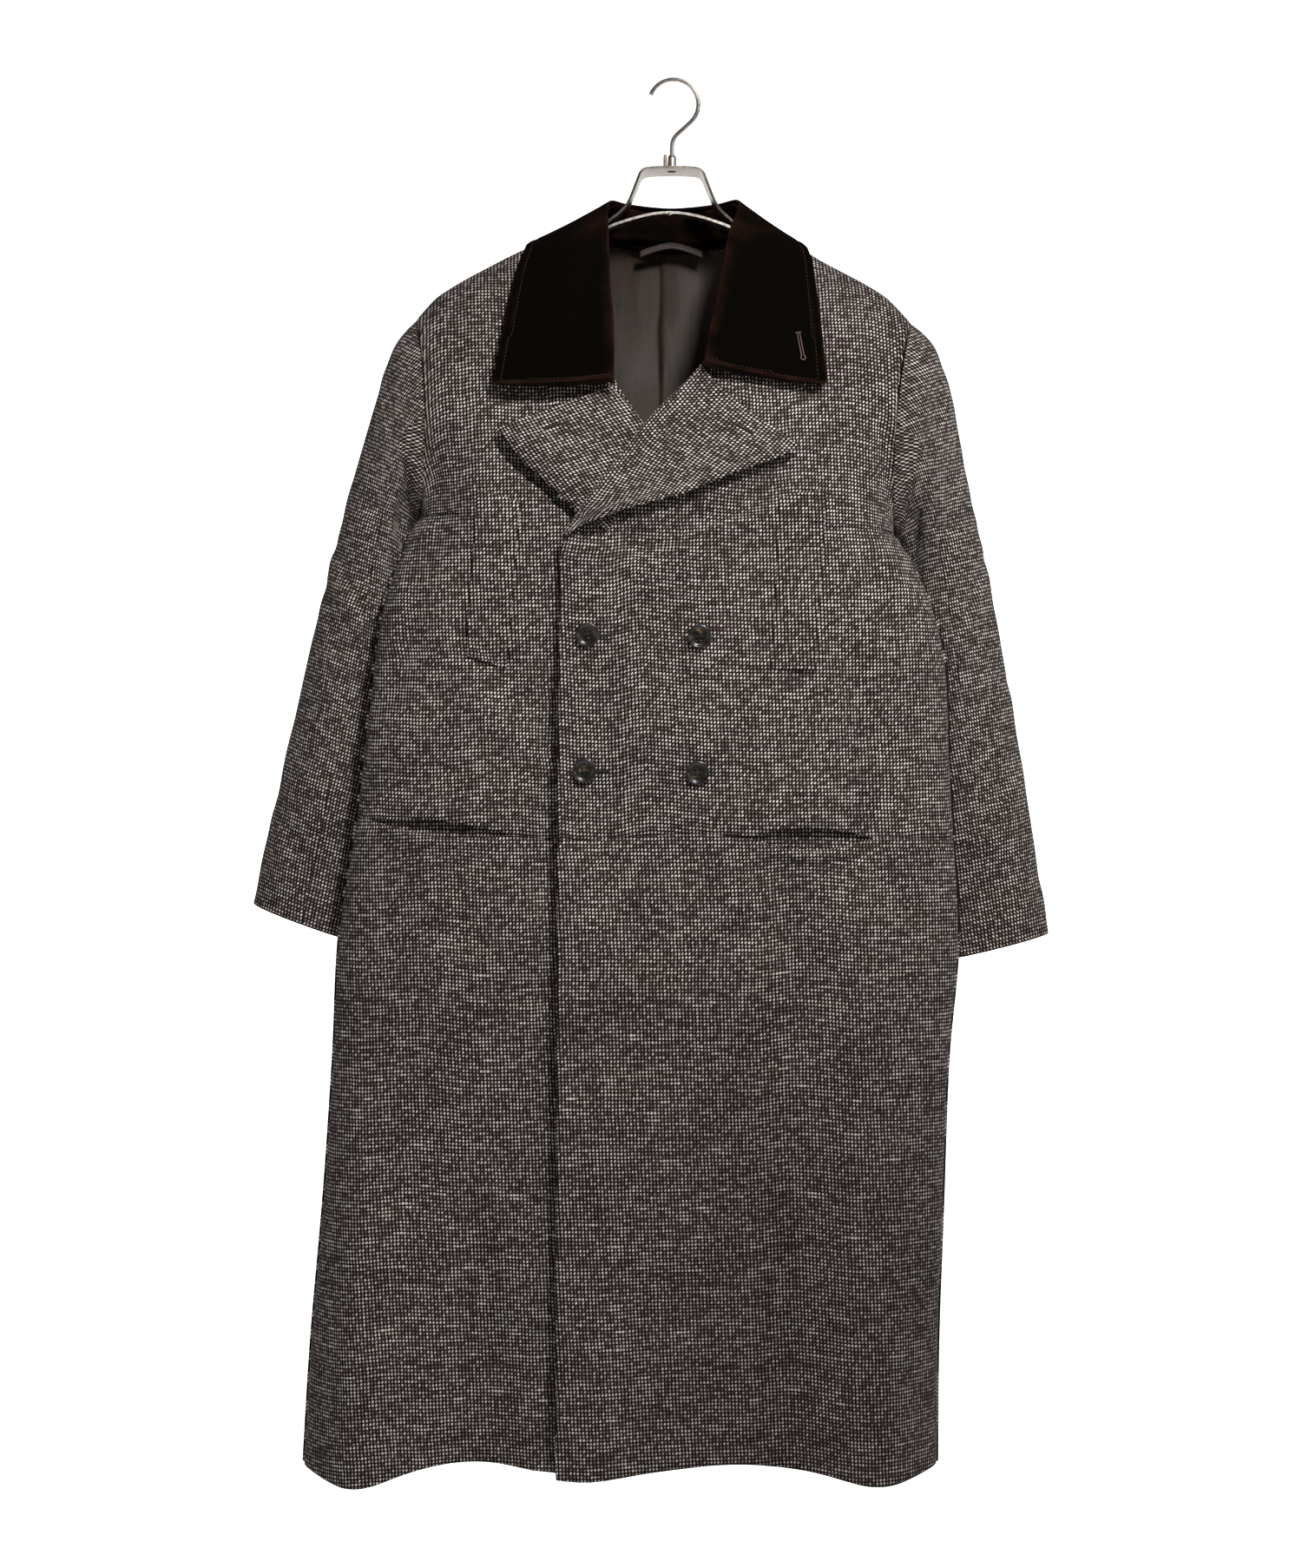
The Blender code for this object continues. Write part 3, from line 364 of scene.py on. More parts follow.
DEPTHS = [
    Depth(-470, -FRONT_DEPTH, BACK_DEPTH), Depth(-780, -94, 50),
    Depth(-1100, -86, 46), Depth(-1425, -78, 44),
]
Fold = namedtuple("Fold", "face x reach push")
FOLDS = [
    Fold(-1, -325, 48, -30), Fold(-1, -205, 62, 18), Fold(-1, -93, 50, -12),
    Fold(-1, 62, 80, 15), Fold(-1, 208, 52, -26),
    Fold(1, -230, 70, 16), Fold(1, -70, 60, -14), Fold(1, 110, 75, 16),
]
Edge = namedtuple("Edge", "z x")
OVER_EDGE = [
    Edge(NECK_Z, 94), Edge(-180, 68), Edge(-215, 58), Edge(-261, 44), Edge(-300, 30),
    Edge(-364, -28), Edge(-447, -91), Edge(-479, -110), Edge(-520, -114), Edge(-1425, -118),
]
UNDER_EDGE = [
    Edge(NECK_Z, -96), Edge(-180, -76), Edge(-260, -72), Edge(-315, -62), Edge(-355, -37),
    Edge(-480, 50), Edge(-870, 45), Edge(-1425, -71),
]
Waist = namedtuple("Waist", "x z")
WAIST = [
    Waist(-330, -762), Waist(-163, -779), Waist(-115, -785), Waist(20, -778),
    Waist(80, -782), Waist(290, -783),
]
Pocket = namedtuple("Pocket", "side start end up down")
POCKETS = [Pocket(-1, -307, -163, 6, 9), Pocket(1, 71, 201, 10, 11)]

# Creases hung into the cloth: a line, its width, and its depth inwards (a ridge if below 0)
Crease = namedtuple("Crease", "face x z end_x end_z width depth")
CREASES = [
    Crease(-1, -226, -600, -128, -708, 14, -6.5), Crease(-1, -200, -592, -136, -668, 12, 6.0),
    Crease(-1, -252, -395, -246, -500, 14, 8.0), Crease(-1, -228, -430, -262, -560, 16, -4.0),
    Crease(-1, 172, -590, 180, -790, 16, 6.5), Crease(-1, 142, -560, 148, -770, 18, -3.0),
    Crease(-1, 92, -800, 124, -940, 22, 8.0), Crease(-1, 205, -420, 250, -560, 17, -6.0),
    Crease(-1, 217, -360, 214, -470, 16, 10.0), Crease(-1, -70, -500, -60, -560, 14, 2.5),
    Crease(-1, -60, -600, 10, -660, 16, -1.6), Crease(-1, -30, -1240, -34, -1420, 30, 3.0),
    Crease(-1, 20, -330, 90, -290, 18, -1.5), Crease(-1, -240, -830, -200, -1000, 24, -2.6),
    Crease(-1, 235, -640, 150, -700, 18, 1.6), Crease(-1, -290, -690, -215, -740, 16, 1.8),
    Crease(1, -190, -330, -120, -480, 18, 3.5), Crease(1, 150, -330, 85, -470, 18, 3.0),
    Crease(1, -225, -400, -262, -620, 20, -3.0), Crease(1, 195, -400, 240, -640, 20, -3.0),
    Crease(-1, -172, -390, -80, -486, 11, 8.0), Crease(-1, 116, -410, 18, -466, 14, 11.0),
    Crease(-1, 18, -464, -62, -488, 16, 15.0), Crease(-1, -262, -480, -286, -640, 15, 8.0),
    Crease(1, -12, -240, -10, -700, 5, 1.0), Crease(1, -120, -700, 60, -740, 22, 2.0),
]


def blend(a, b, t):
    return a + (b - a) * t


def ease(t):
    """A smooth step from 0 to 1."""
    t = np.clip(t, 0.0, 1.0)
    return t * t * (3 - 2 * t)


def bell(off, reach):
    """A soft swell: 1 where off is 0, and almost gone at twice the reach."""
    return np.exp(-((off / reach) ** 2))


def read(table, column, at):
    """Smooth values of one column where the table's first column reaches places."""
    keys = np.array([row[0] for row in table], float)
    values = np.array([getattr(row, column) for row in table], float)
    at = np.asarray(at, float)
    if keys[0] > keys[-1]:
        keys = -keys
        at = -at
    at = np.clip(at, keys[0], keys[-1])
    order = np.arange(len(keys))
    before = np.maximum(order - 1, 0)
    after = np.minimum(order + 1, len(keys) - 1)
    slope = (values[after] - values[before]) / (keys[after] - keys[before])
    i = np.clip(np.searchsorted(keys, at) - 1, 0, len(keys) - 2)
    span = keys[i + 1] - keys[i]
    t = (at - keys[i]) / span
    rise = values[i + 1] - values[i]
    start = slope[i] * span - rise
    end = rise - slope[i + 1] * span
    return blend(values[i], values[i + 1], t) + t * (1 - t) * (start * (1 - t) + end * t)


def closed_in(low, high, rounds, short):
    """Halve spans again and again around the place where a test stops being true."""
    for _ in range(rounds):
        half = (low + high) / 2
        too_short = short(half)
        low = np.where(too_short, half, low)
        high = np.where(too_short, high, half)
    return low, high


def row_end(side, face, row):
    """Where rows meet the armhole (row 0 to 1) or the side seam (row 1 to 2)."""
    table = LEFT_SIDE if side < 0 else RIGHT_SIDE
    armpit = table[0]
    shoulder = SHOULDER_SEAM[0] if side < 0 else SHOULDER_SEAM[-1]
    low_z = blend(armpit.z, HEM_Z, row - 1)
    turn = np.pi * np.minimum(row, 1)
    down = (1 - np.cos(turn)) / 2
    hole_x = blend(shoulder.x, armpit.x, down) - side * ARMHOLE_BOW * np.sin(turn) ** 2
    hole_y = armpit.y * down + face * ARMHOLE_DEPTH * np.sin(turn)
    below = row > 1
    return (
        np.where(below, read(table, "x", low_z), hole_x),
        np.where(below, read(table, "y", low_z), hole_y),
        np.where(below, low_z, blend(shoulder.z, armpit.z, down)),
    )


def seam_z(x):
    """Height of the shoulder seams and of the back's neckline at x."""
    across = np.clip((x - NECK_MIDDLE) / NECK_HALF, -1, 1)
    neck = NECK_Z - NECK_DIP * np.cos(across * np.pi / 2)
    return np.where(np.abs(across) >= 1, read(SHOULDER_SEAM, "z", x), neck)


def row_z(row, x):
    """Height of rows at x: 0 to 1 beside the armhole, 1 to 2 from there to the hem."""
    left = row_end(-1, -1, row)
    right = row_end(1, -1, row)
    z = blend(left[2], right[2], (x - left[0]) / (right[0] - left[0]))
    first, last = SHOULDER_SEAM[0], SHOULDER_SEAM[-1]
    straight = blend(first.z, last.z, (x - first.x) / (last.x - first.x))
    rise = (seam_z(x) - straight) * (1 + np.cos(np.pi * np.minimum(row, 1))) / 2
    return z + np.where(row < 1, rise, 0.0)


def row_turn(row):
    """How far rows turn towards the sides, less beside the armhole than below it."""
    return blend(ARMHOLE_TURN, np.pi / 2, ease((row - 0.55) / 0.45))


def fold_push(face, x, z):
    """How far the hanging folds move the cloth along Y, growing towards the hem."""
    total = 0.0
    for fold in FOLDS:
        if fold.face == face:
            total = total + fold.push * bell(x - fold.x, fold.reach)
    return total * ease((FOLD_TOP - z) / (FOLD_TOP - HEM_Z))


def ripple(x, z, size, seed):
    """Slow uneven waves, about 1 high, with a wavelength near the size."""
    dice = np.random.default_rng(seed)
    total = 0.0
    for _ in range(7):
        heading = dice.uniform(0, 2 * np.pi)
        pace = 2 * np.pi / (size * dice.uniform(0.7, 1.6))
        total = total + np.sin((x * np.cos(heading) + z * np.sin(heading)) * pace + dice.uniform(0, 6.28))
    return total / 3.7


def crease_push(face, x, z):
    """How far creases and slow waves move the cloth inwards."""
    total = BROAD_WAVE * ripple(x, z, 130, 5 + face) + SMALL_WAVE * ripple(x, z, 48, 9 + face)
    for crease in CREASES:
        if crease.face == face:
            run_x, run_z = crease.end_x - crease.x, crease.end_z - crease.z
            length = math.hypot(run_x, run_z)
            along = ((x - crease.x) * run_x + (z - crease.z) * run_z) / length ** 2
            off = ((x - crease.x) * run_z - (z - crease.z) * run_x) / length
            off = off + CREASE_BOW * length * np.sin(np.pi * along) * np.sign(crease.depth)
            ends = ease((along + CREASE_OVER) / CREASE_FADE) * ease((1 + CREASE_OVER - along) / CREASE_FADE)
            total = total + crease.depth * bell(off, crease.width) * ends
    return total


def body_point(face, row, across):
    """Points of the front or back; across runs from -1 at the left to 1 at the right."""
    row, across = np.broadcast_arrays(np.asarray(row, float), np.asarray(across, float))
    left = row_end(-1, face, row)
    right = row_end(1, face, row)
    power = 2 / (FRONT_POWER if face < 0 else BACK_POWER)
    turn = row_turn(row)
    out = (np.sin(np.abs(across) * turn) / np.sin(turn)) ** power
    low = np.maximum(0.0, np.cos(turn)) ** power
    level = (np.maximum(0.0, np.cos(across * turn)) ** power - low) / (1 - low)
    middle = (left[0] + right[0]) / 2
    x = middle + np.sign(across) * out * (right[0] - left[0]) / 2
    z = row_z(row, x)
    end_y = np.where(x < middle, left[1], right[1])
    below = read(DEPTHS, "front" if face < 0 else "back", z)
    above = face * (FRONT_DEPTH if face < 0 else BACK_DEPTH) * np.sin(np.pi * np.minimum(row, 1) / 2)
    y = blend(end_y, np.where(row >= 1, below, above), level)
    if face > 0:
        neck = np.clip((x - NECK_MIDDLE) / NECK_HALF, -1, 1)
        lift = NECK_DEPTH * np.sqrt(1 - neck * neck) * (1 + np.cos(np.pi * np.minimum(row, 1))) / 2
        y = y + np.where(row < 1, lift, 0.0)
    y = y + fold_push(face, x, z) * np.minimum(1.0, level * 1.6)
    held = (1 - np.abs(across) ** 20) * ease(row / 0.12)
    return np.stack([x, y - face * crease_push(face, x, z) * held, z], -1)


def row_at(x, z):
    """The rows that pass x at height z."""
    low = np.zeros(np.broadcast(x, z).shape)
    low, high = closed_in(low, low + ROW_LIMIT, 20, lambda row: row_z(row, x) > z)
    return (low + high) / 2


def across_at(face, row, x):
    """The places across rows that lie at x."""
    left = row_end(-1, face, row)
    right = row_end(1, face, row)
    power = 2 / (FRONT_POWER if face < 0 else BACK_POWER)
    turn = row_turn(row)
    ratio = np.clip((x - (left[0] + right[0]) / 2) / ((right[0] - left[0]) / 2), -1, 1)
    angle = np.arcsin(np.minimum(1.0, np.abs(ratio) ** (1 / power) * np.sin(turn)))
    return np.sign(ratio) * angle / turn


def under_shift(x, row):
    """How far the under front lies behind the over one."""
    return UNDER_LAP * ease((x - UNDER_LAP_X) / UNDER_LAP_RUN) * ease(row / 0.45)


def front_place(side, x, z):
    """Points of the under (left) or over (right) front seen at x and z."""
    row = row_at(x, z)
    point = body_point(-1, row, across_at(-1, row, x))
    if side < 0:
        point[..., 1] += under_shift(x, row)
    return point


def row_of_waist(across, shift):
    """The rows that meet the waist seam, moved by a pocket's lip."""
    row = np.full(np.shape(across), 1.3)
    for _ in range(4):
        x = body_point(-1, row, across)[..., 0]
        row = row_at(x, read(WAIST, "z", x) + shift(x))
    return row


def row_of_hem(face, across):
    """The rows that meet the hem, which dips where a fold comes forward."""
    x = body_point(face, np.full(np.shape(across), 2.0), across)[..., 0]
    return row_at(x, HEM_Z + HEM_DIP * fold_push(face, x, HEM_Z) * (1 - across ** 8))


def mouth(pocket, x):
    """How far one waist pocket gapes at x: 0 at its ends, 1 in its middle."""
    return np.sin(np.pi * np.clip((x - pocket.start) / (pocket.end - pocket.start), 0, 1))


def gape(column, way):
    """How far a pocket's lip hangs from the waist seam."""
    def lip(x):
        total = HALF_SEAM * way
        for pocket in POCKETS:
            total = total + way * getattr(pocket, column) * mouth(pocket, x)
        return total
    return lip


def inner_across(side, row):
    """Where rows of a front start: at the neck, the roll line or the front edge."""
    edge = OVER_EDGE if side > 0 else UNDER_EDGE

    def short(across):
        point = body_point(-1, row, across)
        return point[..., 0] < read(edge, "x", point[..., 2])

    low, high = closed_in(np.full(row.shape, -1.0), np.full(row.shape, 1.0), 26, short)
    return (low + high) / 2


def steps(count, *close):
    """Even steps from 0 to 1 with closer ones at both ends."""
    even = np.linspace(0, 1, count + 1)
    return np.unique(np.concatenate([even, close, 1 - np.array(close)]))


def turned_out(points, towards):
    """Unit normals of a grid of points on the side of a direction."""
    normal = np.cross(np.gradient(points, axis=0), np.gradient(points, axis=1))
    normal /= np.maximum(1e-9, np.linalg.norm(normal, axis=-1, keepdims=True))
    side = np.sign(np.sum(normal * towards, axis=-1, keepdims=True))
    return normal * np.where(side == 0, 1, side)


TOP, BOTTOM, FIRST, LAST = 0, 1, 2, 3


def edge_distance(points):
    """Length along the cloth from each grid point to the four edges: top, bottom, first, last."""
    down = np.linalg.norm(np.diff(points, axis=0), axis=-1)
    down = np.concatenate([np.zeros((1, down.shape[1])), np.cumsum(down, axis=0)])
    along = np.linalg.norm(np.diff(points, axis=1), axis=-1)
    along = np.concatenate([np.zeros((along.shape[0], 1)), np.cumsum(along, axis=1)], axis=1)
    return down, down[-1:] - down, along, along[:, -1:] - along


def hung_grain(points, middle_x, level_row):
    """Map of the weave on a hung panel: level rows, and columns plumb from a middle line."""
    step = np.diff(points, axis=1)
    across = np.cumsum(np.hypot(step[..., 0], step[..., 1]), axis=1)
    across = np.concatenate([np.zeros((len(points), 1)), across], axis=1)
    way = 1 if points[0, 0, 0] < points[0, -1, 0] else -1
    for i in range(len(points)):
        across[i] -= np.interp(middle_x, points[i, ::way, 0], across[i, ::way])
    step = np.diff(points, axis=0)
    down = np.cumsum(np.hypot(step[..., 1], step[..., 2]), axis=0)
    down = np.concatenate([np.zeros((1, points.shape[1])), down])
    up = points[level_row, :, 2] - (down - down[level_row])
    return np.stack([way * across, up], -1)


def cloth(name, outer, thick, towards, grain, bulges, finish, sheen_marks=None):
    """Closed sheet under a grid of points, with a rounded edge and the weave's own map.

    Bulges say how far the edge swells at the top, last column, bottom and first column.
    """
    normal = turned_out(outer, towards)
    inner = outer - thick * normal
    rows, columns = outer.shape[:2]
    index = np.arange(rows * columns).reshape(rows, columns)
    ring = np.concatenate([index[0, :-1], index[:-1, -1], index[-1, :0:-1], index[:0:-1, 0]])
    swell = np.concatenate([
        np.full(columns - 1, bulges[0]), np.full(rows - 1, bulges[1]),
        np.full(columns - 1, bulges[2]), np.full(rows - 1, bulges[3]),
    ])
    i, j = np.unravel_index(ring, (rows, columns))
    inside = outer[np.clip(i, 1, rows - 2), np.clip(j, 1, columns - 2)]
    away = outer[i, j] - inside
    away /= np.maximum(1e-9, np.linalg.norm(away, axis=-1, keepdims=True))
    middle = (outer[i, j] + inner[i, j]) / 2 + away * swell[:, None]
    count = rows * columns
    points = np.concatenate([outer.reshape(-1, 3), inner.reshape(-1, 3), middle]) * METRES
    a, b = index[:-1, :-1].ravel(), index[:-1, 1:].ravel()
    c, d = index[1:, 1:].ravel(), index[1:, :-1].ravel()
    after = np.roll(ring, -1)
    rim = 2 * count + np.arange(len(ring))
    rim_after = np.roll(rim, -1)
    faces = np.concatenate([
        np.stack([a, b, c, d], -1), np.stack([d, c, b, a], -1) + count,
        np.stack([after, ring, rim, rim_after], -1),
        np.stack([rim_after, rim, ring + count, after + count], -1),
    ])
    mesh = bpy.data.meshes.new(name)
    mesh.from_pydata(points.tolist(), [], faces.tolist())
    flat = np.concatenate([grain.reshape(-1, 2), grain.reshape(-1, 2), grain[i, j]]) * METRES
    layer = mesh.uv_layers.new(name="grain")
    corners = np.zeros(len(mesh.loops), np.int32)
    mesh.loops.foreach_get("vertex_index", corners)
    layer.data.foreach_set("uv", flat[corners].astype(np.float32).ravel())
    # Marks, where given, carry the velvet's painted sheen as a point attribute.
    if sheen_marks is not None:
        values = np.concatenate([sheen_marks.ravel(), sheen_marks.ravel(), sheen_marks[i, j]])
        sheen_attribute = mesh.attributes.new("painted_sheen", "FLOAT", "POINT")
        sheen_attribute.data.foreach_set("value", values.astype(np.float32))
    work = bmesh.new()
    work.from_mesh(mesh)
    bmesh.ops.recalc_face_normals(work, faces=work.faces)
    work.to_mesh(mesh)
    work.free()
    mesh.shade_smooth()
    mesh.materials.append(finish)
    piece = bpy.data.objects.new(name, mesh)
    bpy.context.scene.collection.objects.link(piece)
    return piece


LEAST_AREA = 0.31


def hang(piece, node, grain, rests_on):
    """Fix a cloth piece to the coat and work out the flat cut that its map gives."""
    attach(piece, "root")
    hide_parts(node)
    flat = grain * METRES
    a, b = flat[1:, 1:] - flat[:-1, :-1], flat[1:, :-1] - flat[:-1, 1:]
    area = float(np.abs(a[..., 0] * b[..., 1] - a[..., 1] * b[..., 0]).sum() / 2)
    size = flat.reshape(-1, 2).max(0) - flat.reshape(-1, 2).min(0)
    cut = (float(size[0]), float(size[1]))
    area = min(max(area, LEAST_AREA * cut[0] * cut[1]), cut[0] * cut[1])


def sunk(points, normal, edges, depth=SEAM_SINK, reach=SEAM_REACH):
    """Press a panel in where its edges are sewn into a seam."""
    distances = edge_distance(points)
    total = 0.0
    for edge in edges:
        total = total + depth * bell(distances[edge], reach)
    return points - normal * np.asarray(total)[..., None]


def pocket_open(x):
    """How far the waist pockets gape at x: 0 where the seam is closed, 1 in the middle."""
    return sum(mouth(pocket, x) for pocket in POCKETS)


FRONT_COLUMNS = steps(62, 0.004, 0.010, 0.017)
CHEST_ARMHOLE = np.maximum(0.001, np.concatenate([[0, 0.006, 0.012], np.linspace(0.024, 1, 56)]))
CHEST_PARTS = np.concatenate([np.linspace(0, 1, 58)[1:-1], [0.990, 0.995, 1.0]])
SKIRT_PARTS = np.concatenate([np.linspace(0, 0.024, 13), np.linspace(0.031, 1, 106)])
FRONT_WAY = np.array([0.0, -1.0, 0.25])


def front_grid(side, above, rows_below):
    """Grid of a front: armhole rows by number, then parts of the way down from them."""
    middle_rows = np.concatenate([above, rows_below(np.zeros(1))[:, 0]])
    start = inner_across(side, middle_rows)
    across = blend(start[:, None], side * 1.0, FRONT_COLUMNS[None, :])
    rows = np.broadcast_to(above[:, None], (len(above), across.shape[1]))
    rows = np.concatenate([rows, rows_below(across[len(above):])])
    points = body_point(-1, rows, across)
    if side < 0:
        points[..., 1] += under_shift(points[..., 0], rows)
    return points


def chest_below(across):
    """Rows of an upper front from the armpit to the waist seam."""
    waist = row_of_waist(across, gape("up", 1))
    if waist.shape[0] == 1:
        waist = np.repeat(waist[None, :], len(CHEST_PARTS), 0)
    return blend(1.0, waist, CHEST_PARTS[:, None])


def skirt_below(across):
    """Rows of a front skirt from the waist seam to the hem."""
    waist = row_of_waist(across, gape("down", -1))
    hem = row_of_hem(-1, across)
    if waist.shape[0] == 1:
        waist = np.repeat(waist[None, :], len(SKIRT_PARTS), 0)
        hem = np.repeat(hem[None, :], len(SKIRT_PARTS), 0)
    return blend(waist, hem, SKIRT_PARTS[:, None])


WAIST_SINK = 1.7
WAIST_REACH = 3.0
UPPER_LIP = 1.5
LOWER_LIP = 6.0
LIP_REACH = 9.0
LIP_PEAK = 2.33
EDGE_TOP = -500.0
EDGE_RUN = 160.0
EDGE_CURL = 2.4
EDGE_REACH = 11.0
ROLL_END_Z = -479.0
ROLL_END_HALF = 24.0
ROLL_END_OUT = 8.0
ROLL_END_REACH = 9.0
TROUGH_X = -126.0
TROUGH_REACH = 12.0
TROUGH_DEPTH = 10.0
PANEL_MIDDLE = 150.0
UPPER_BULGES = (0, 0, 0.1, 0.7)
SKIRT_BULGES = (0.1, 0, 0.7, 0.7)


def lipped(points, normal, edge, lip):
    """Sink the waist seam, and push a pocket's lip out where the seam is open."""
    distance = edge_distance(points)[edge]
    gaping = pocket_open(points[..., 0])
    seam = WAIST_SINK * bell(distance, WAIST_REACH) * (1 - ease(gaping * 4))
    part = distance / LIP_REACH
    swell = lip * gaping ** 1.2 * LIP_PEAK * part * np.exp(-part ** 2)
    return points + normal * (swell - seam)[..., None]


def edged(points, normal, side):
    """Curl the over front's edge out, and let the under front fall back beside it."""
    low = ease((EDGE_TOP - points[..., 2]) / EDGE_RUN)
    if side > 0:
        from_edge = edge_distance(points)[FIRST]
        push = EDGE_CURL * bell(from_edge, EDGE_REACH) * low
        roll_end = bell(points[..., 2] - ROLL_END_Z, ROLL_END_HALF) * bell(from_edge, ROLL_END_REACH)
        push = push + ROLL_END_OUT * roll_end
    else:
        push = -TROUGH_DEPTH * bell(points[..., 0] - TROUGH_X, TROUGH_REACH) * low
    return points + normal * push[..., None]


for side, word in ((1, "right"), (-1, "left")):
    middle_x = side * PANEL_MIDDLE
    points = front_grid(side, CHEST_ARMHOLE, chest_below)
    normal = turned_out(points, FRONT_WAY)
    points = sunk(points, normal, (TOP, LAST))
    points = lipped(points, normal, BOTTOM, UPPER_LIP)
    points = edged(points, normal, side)
    grain_map = hung_grain(points, middle_x, len(CHEST_ARMHOLE))
    name = "front_%s_upper" % word
    upper = cloth(name + "_cloth", points, TWEED, FRONT_WAY, grain_map, UPPER_BULGES, tweed)
    hang(upper, name, grain_map, ["hanger_arm_" + word])
    points = front_grid(side, np.zeros(0), skirt_below)
    normal = turned_out(points, FRONT_WAY)
    points = sunk(points, normal, (LAST,))
    points = lipped(points, normal, TOP, LOWER_LIP)
    points = edged(points, normal, side)
    grain_map = hung_grain(points, middle_x, 0)
    name = "front_%s_skirt" % word
    skirt = cloth(name + "_cloth", points, TWEED, FRONT_WAY, grain_map, SKIRT_BULGES, tweed)
    hang(skirt, name, grain_map, [upper.name])

# Back: one tweed panel from the shoulder seams and the neckline to the hem, sewn to
# the fronts at the sides, with slow folds that open towards the hem.
BACK_WAY = np.array([0.0, 1.0, 0.25])
BACK_COLUMNS = steps(118, 0.003, 0.007)
BACK_PARTS = np.linspace(0, 1, 190)[1:]

back_across = blend(-1.0, 1.0, BACK_COLUMNS)
armhole_rows = np.maximum(0.002, np.concatenate([[0, 0.008, 0.016], np.linspace(0.03, 1, 52)]))
back_rows = np.concatenate([
    np.repeat(armhole_rows[:, None], len(back_across), 1),
    blend(1.0, row_of_hem(1, back_across)[None, :], BACK_PARTS[:, None]),
])
points = body_point(1, back_rows, np.broadcast_to(back_across, back_rows.shape))
points = sunk(points, turned_out(points, BACK_WAY), (TOP, FIRST, LAST))
grain_map = hung_grain(points, 0.0, len(armhole_rows))
back = cloth("back_cloth", points, TWEED, BACK_WAY, grain_map, (0, 0, 0.7, 0), tweed)
hang(back, "back", grain_map, ["hanger_arm_left", "hanger_arm_right"])

# Sleeves: each a top and an under sleeve of tweed, set into the armhole and sewn down
# two seams, hanging behind the body's side with a few slanting creases at the elbow.
Sleeve = namedtuple("Sleeve", "t outer_x outer_z outer_y inner_x inner_z inner_y depth")
LEFT_SLEEVE = [
    Sleeve(0.00, -266, -247, 0, -262, -452, 8, ARMHOLE_DEPTH),
    Sleeve(0.08, -294, -293, 2, -267, -458, 16, 53), Sleeve(0.16, -308, -329, 5, -269, -472, 28, 53),
    Sleeve(0.30, -330, -401, 14, -268, -500, 38, 50), Sleeve(0.45, -351, -471, 26, -274, -560, 42, 50),
    Sleeve(0.60, -370, -540, 34, -283, -640, 43, 50), Sleeve(0.80, -406, -690, 40, -306, -768, 43, 48),
    Sleeve(1.00, -442, -853, 42, -329, -894, 43, 43),
]
RIGHT_SLEEVE = [
    Sleeve(0.00, 245, -250, 0, 228, -470, 8, ARMHOLE_DEPTH),
    Sleeve(0.08, 274, -290, 2, 233, -476, 16, 53), Sleeve(0.16, 289, -329, 5, 235, -490, 28, 53),
    Sleeve(0.30, 304, -401, 14, 235, -518, 38, 50), Sleeve(0.45, 321, -471, 26, 240, -575, 42, 49),
    Sleeve(0.60, 337, -542, 34, 247, -655, 43, 47), Sleeve(0.80, 366, -706, 40, 264, -783, 43, 44),
    Sleeve(1.00, 395, -884, 42, 279, -913, 43, 40),
]
SLEEVE_BOW_REACH = 0.12
SLEEVE_RADIUS = 55.0
SLEEVE_LENGTH = 640.0
SLEEVE_HEAD = 5.0
SLEEVE_HEAD_T = 0.05
SLEEVE_HEAD_REACH = 0.04
ARMPIT_HOLLOW = 14.0
ARMPIT_TURN = 2.35
ARMPIT_T = 0.20
TOP_SLEEVE_TURN = math.pi / 2
Wrinkle = namedtuple("Wrinkle", "side t turn slant length width depth")
WRINKLES = [
    Wrinkle(-1, 0.10, 0.9, 0.05, 1.0, 0.025, 2.5), Wrinkle(-1, 0.30, 1.5, -0.05, 0.8, 0.022, 3.0),
    Wrinkle(-1, 0.52, 1.3, 0.06, 1.1, 0.020, 3.0), Wrinkle(-1, 0.60, 0.8, 0.05, 0.9, 0.018, 2.0),
    Wrinkle(-1, 0.76, 1.4, -0.06, 0.9, 0.022, 2.5), Wrinkle(-1, 0.88, 0.7, 0.04, 0.8, 0.020, 2.0),
    Wrinkle(1, 0.12, 1.0, 0.05, 1.0, 0.024, 2.5), Wrinkle(1, 0.34, 1.4, -0.05, 0.9, 0.022, 3.0),
    Wrinkle(1, 0.55, 1.2, 0.06, 1.1, 0.020, 2.8), Wrinkle(1, 0.66, 0.7, -0.05, 0.8, 0.018, 2.0),
    Wrinkle(1, 0.82, 1.3, 0.05, 0.9, 0.022, 2.5), Wrinkle(1, 0.91, 0.6, -0.03, 0.8, 0.020, 1.6),
]
SLEEVE_STEPS = np.concatenate([[0.0006, 0.005, 0.010], np.linspace(0.018, 0.985, 118), [0.991, 0.996, 1.0]])


def sleeve_point(side, t, turn):
    """Points of a sleeve; turn is 0 on its outer side, half a circle on its inner one."""
    table = LEFT_SLEEVE if side < 0 else RIGHT_SLEEVE
    down = (1 - np.cos(turn)) / 2
    x = blend(read(table, "outer_x", t), read(table, "inner_x", t), down)
    z = blend(read(table, "outer_z", t), read(table, "inner_z", t), down)
    y = blend(read(table, "outer_y", t), read(table, "inner_y", t), down)
    bow = ARMHOLE_BOW * np.maximum(0.0, 1 - t / SLEEVE_BOW_REACH) ** 2
    x = x - side * bow * np.sin(turn) ** 2
    return np.stack([x, y - read(table, "depth", t) * np.sin(turn), z], -1)


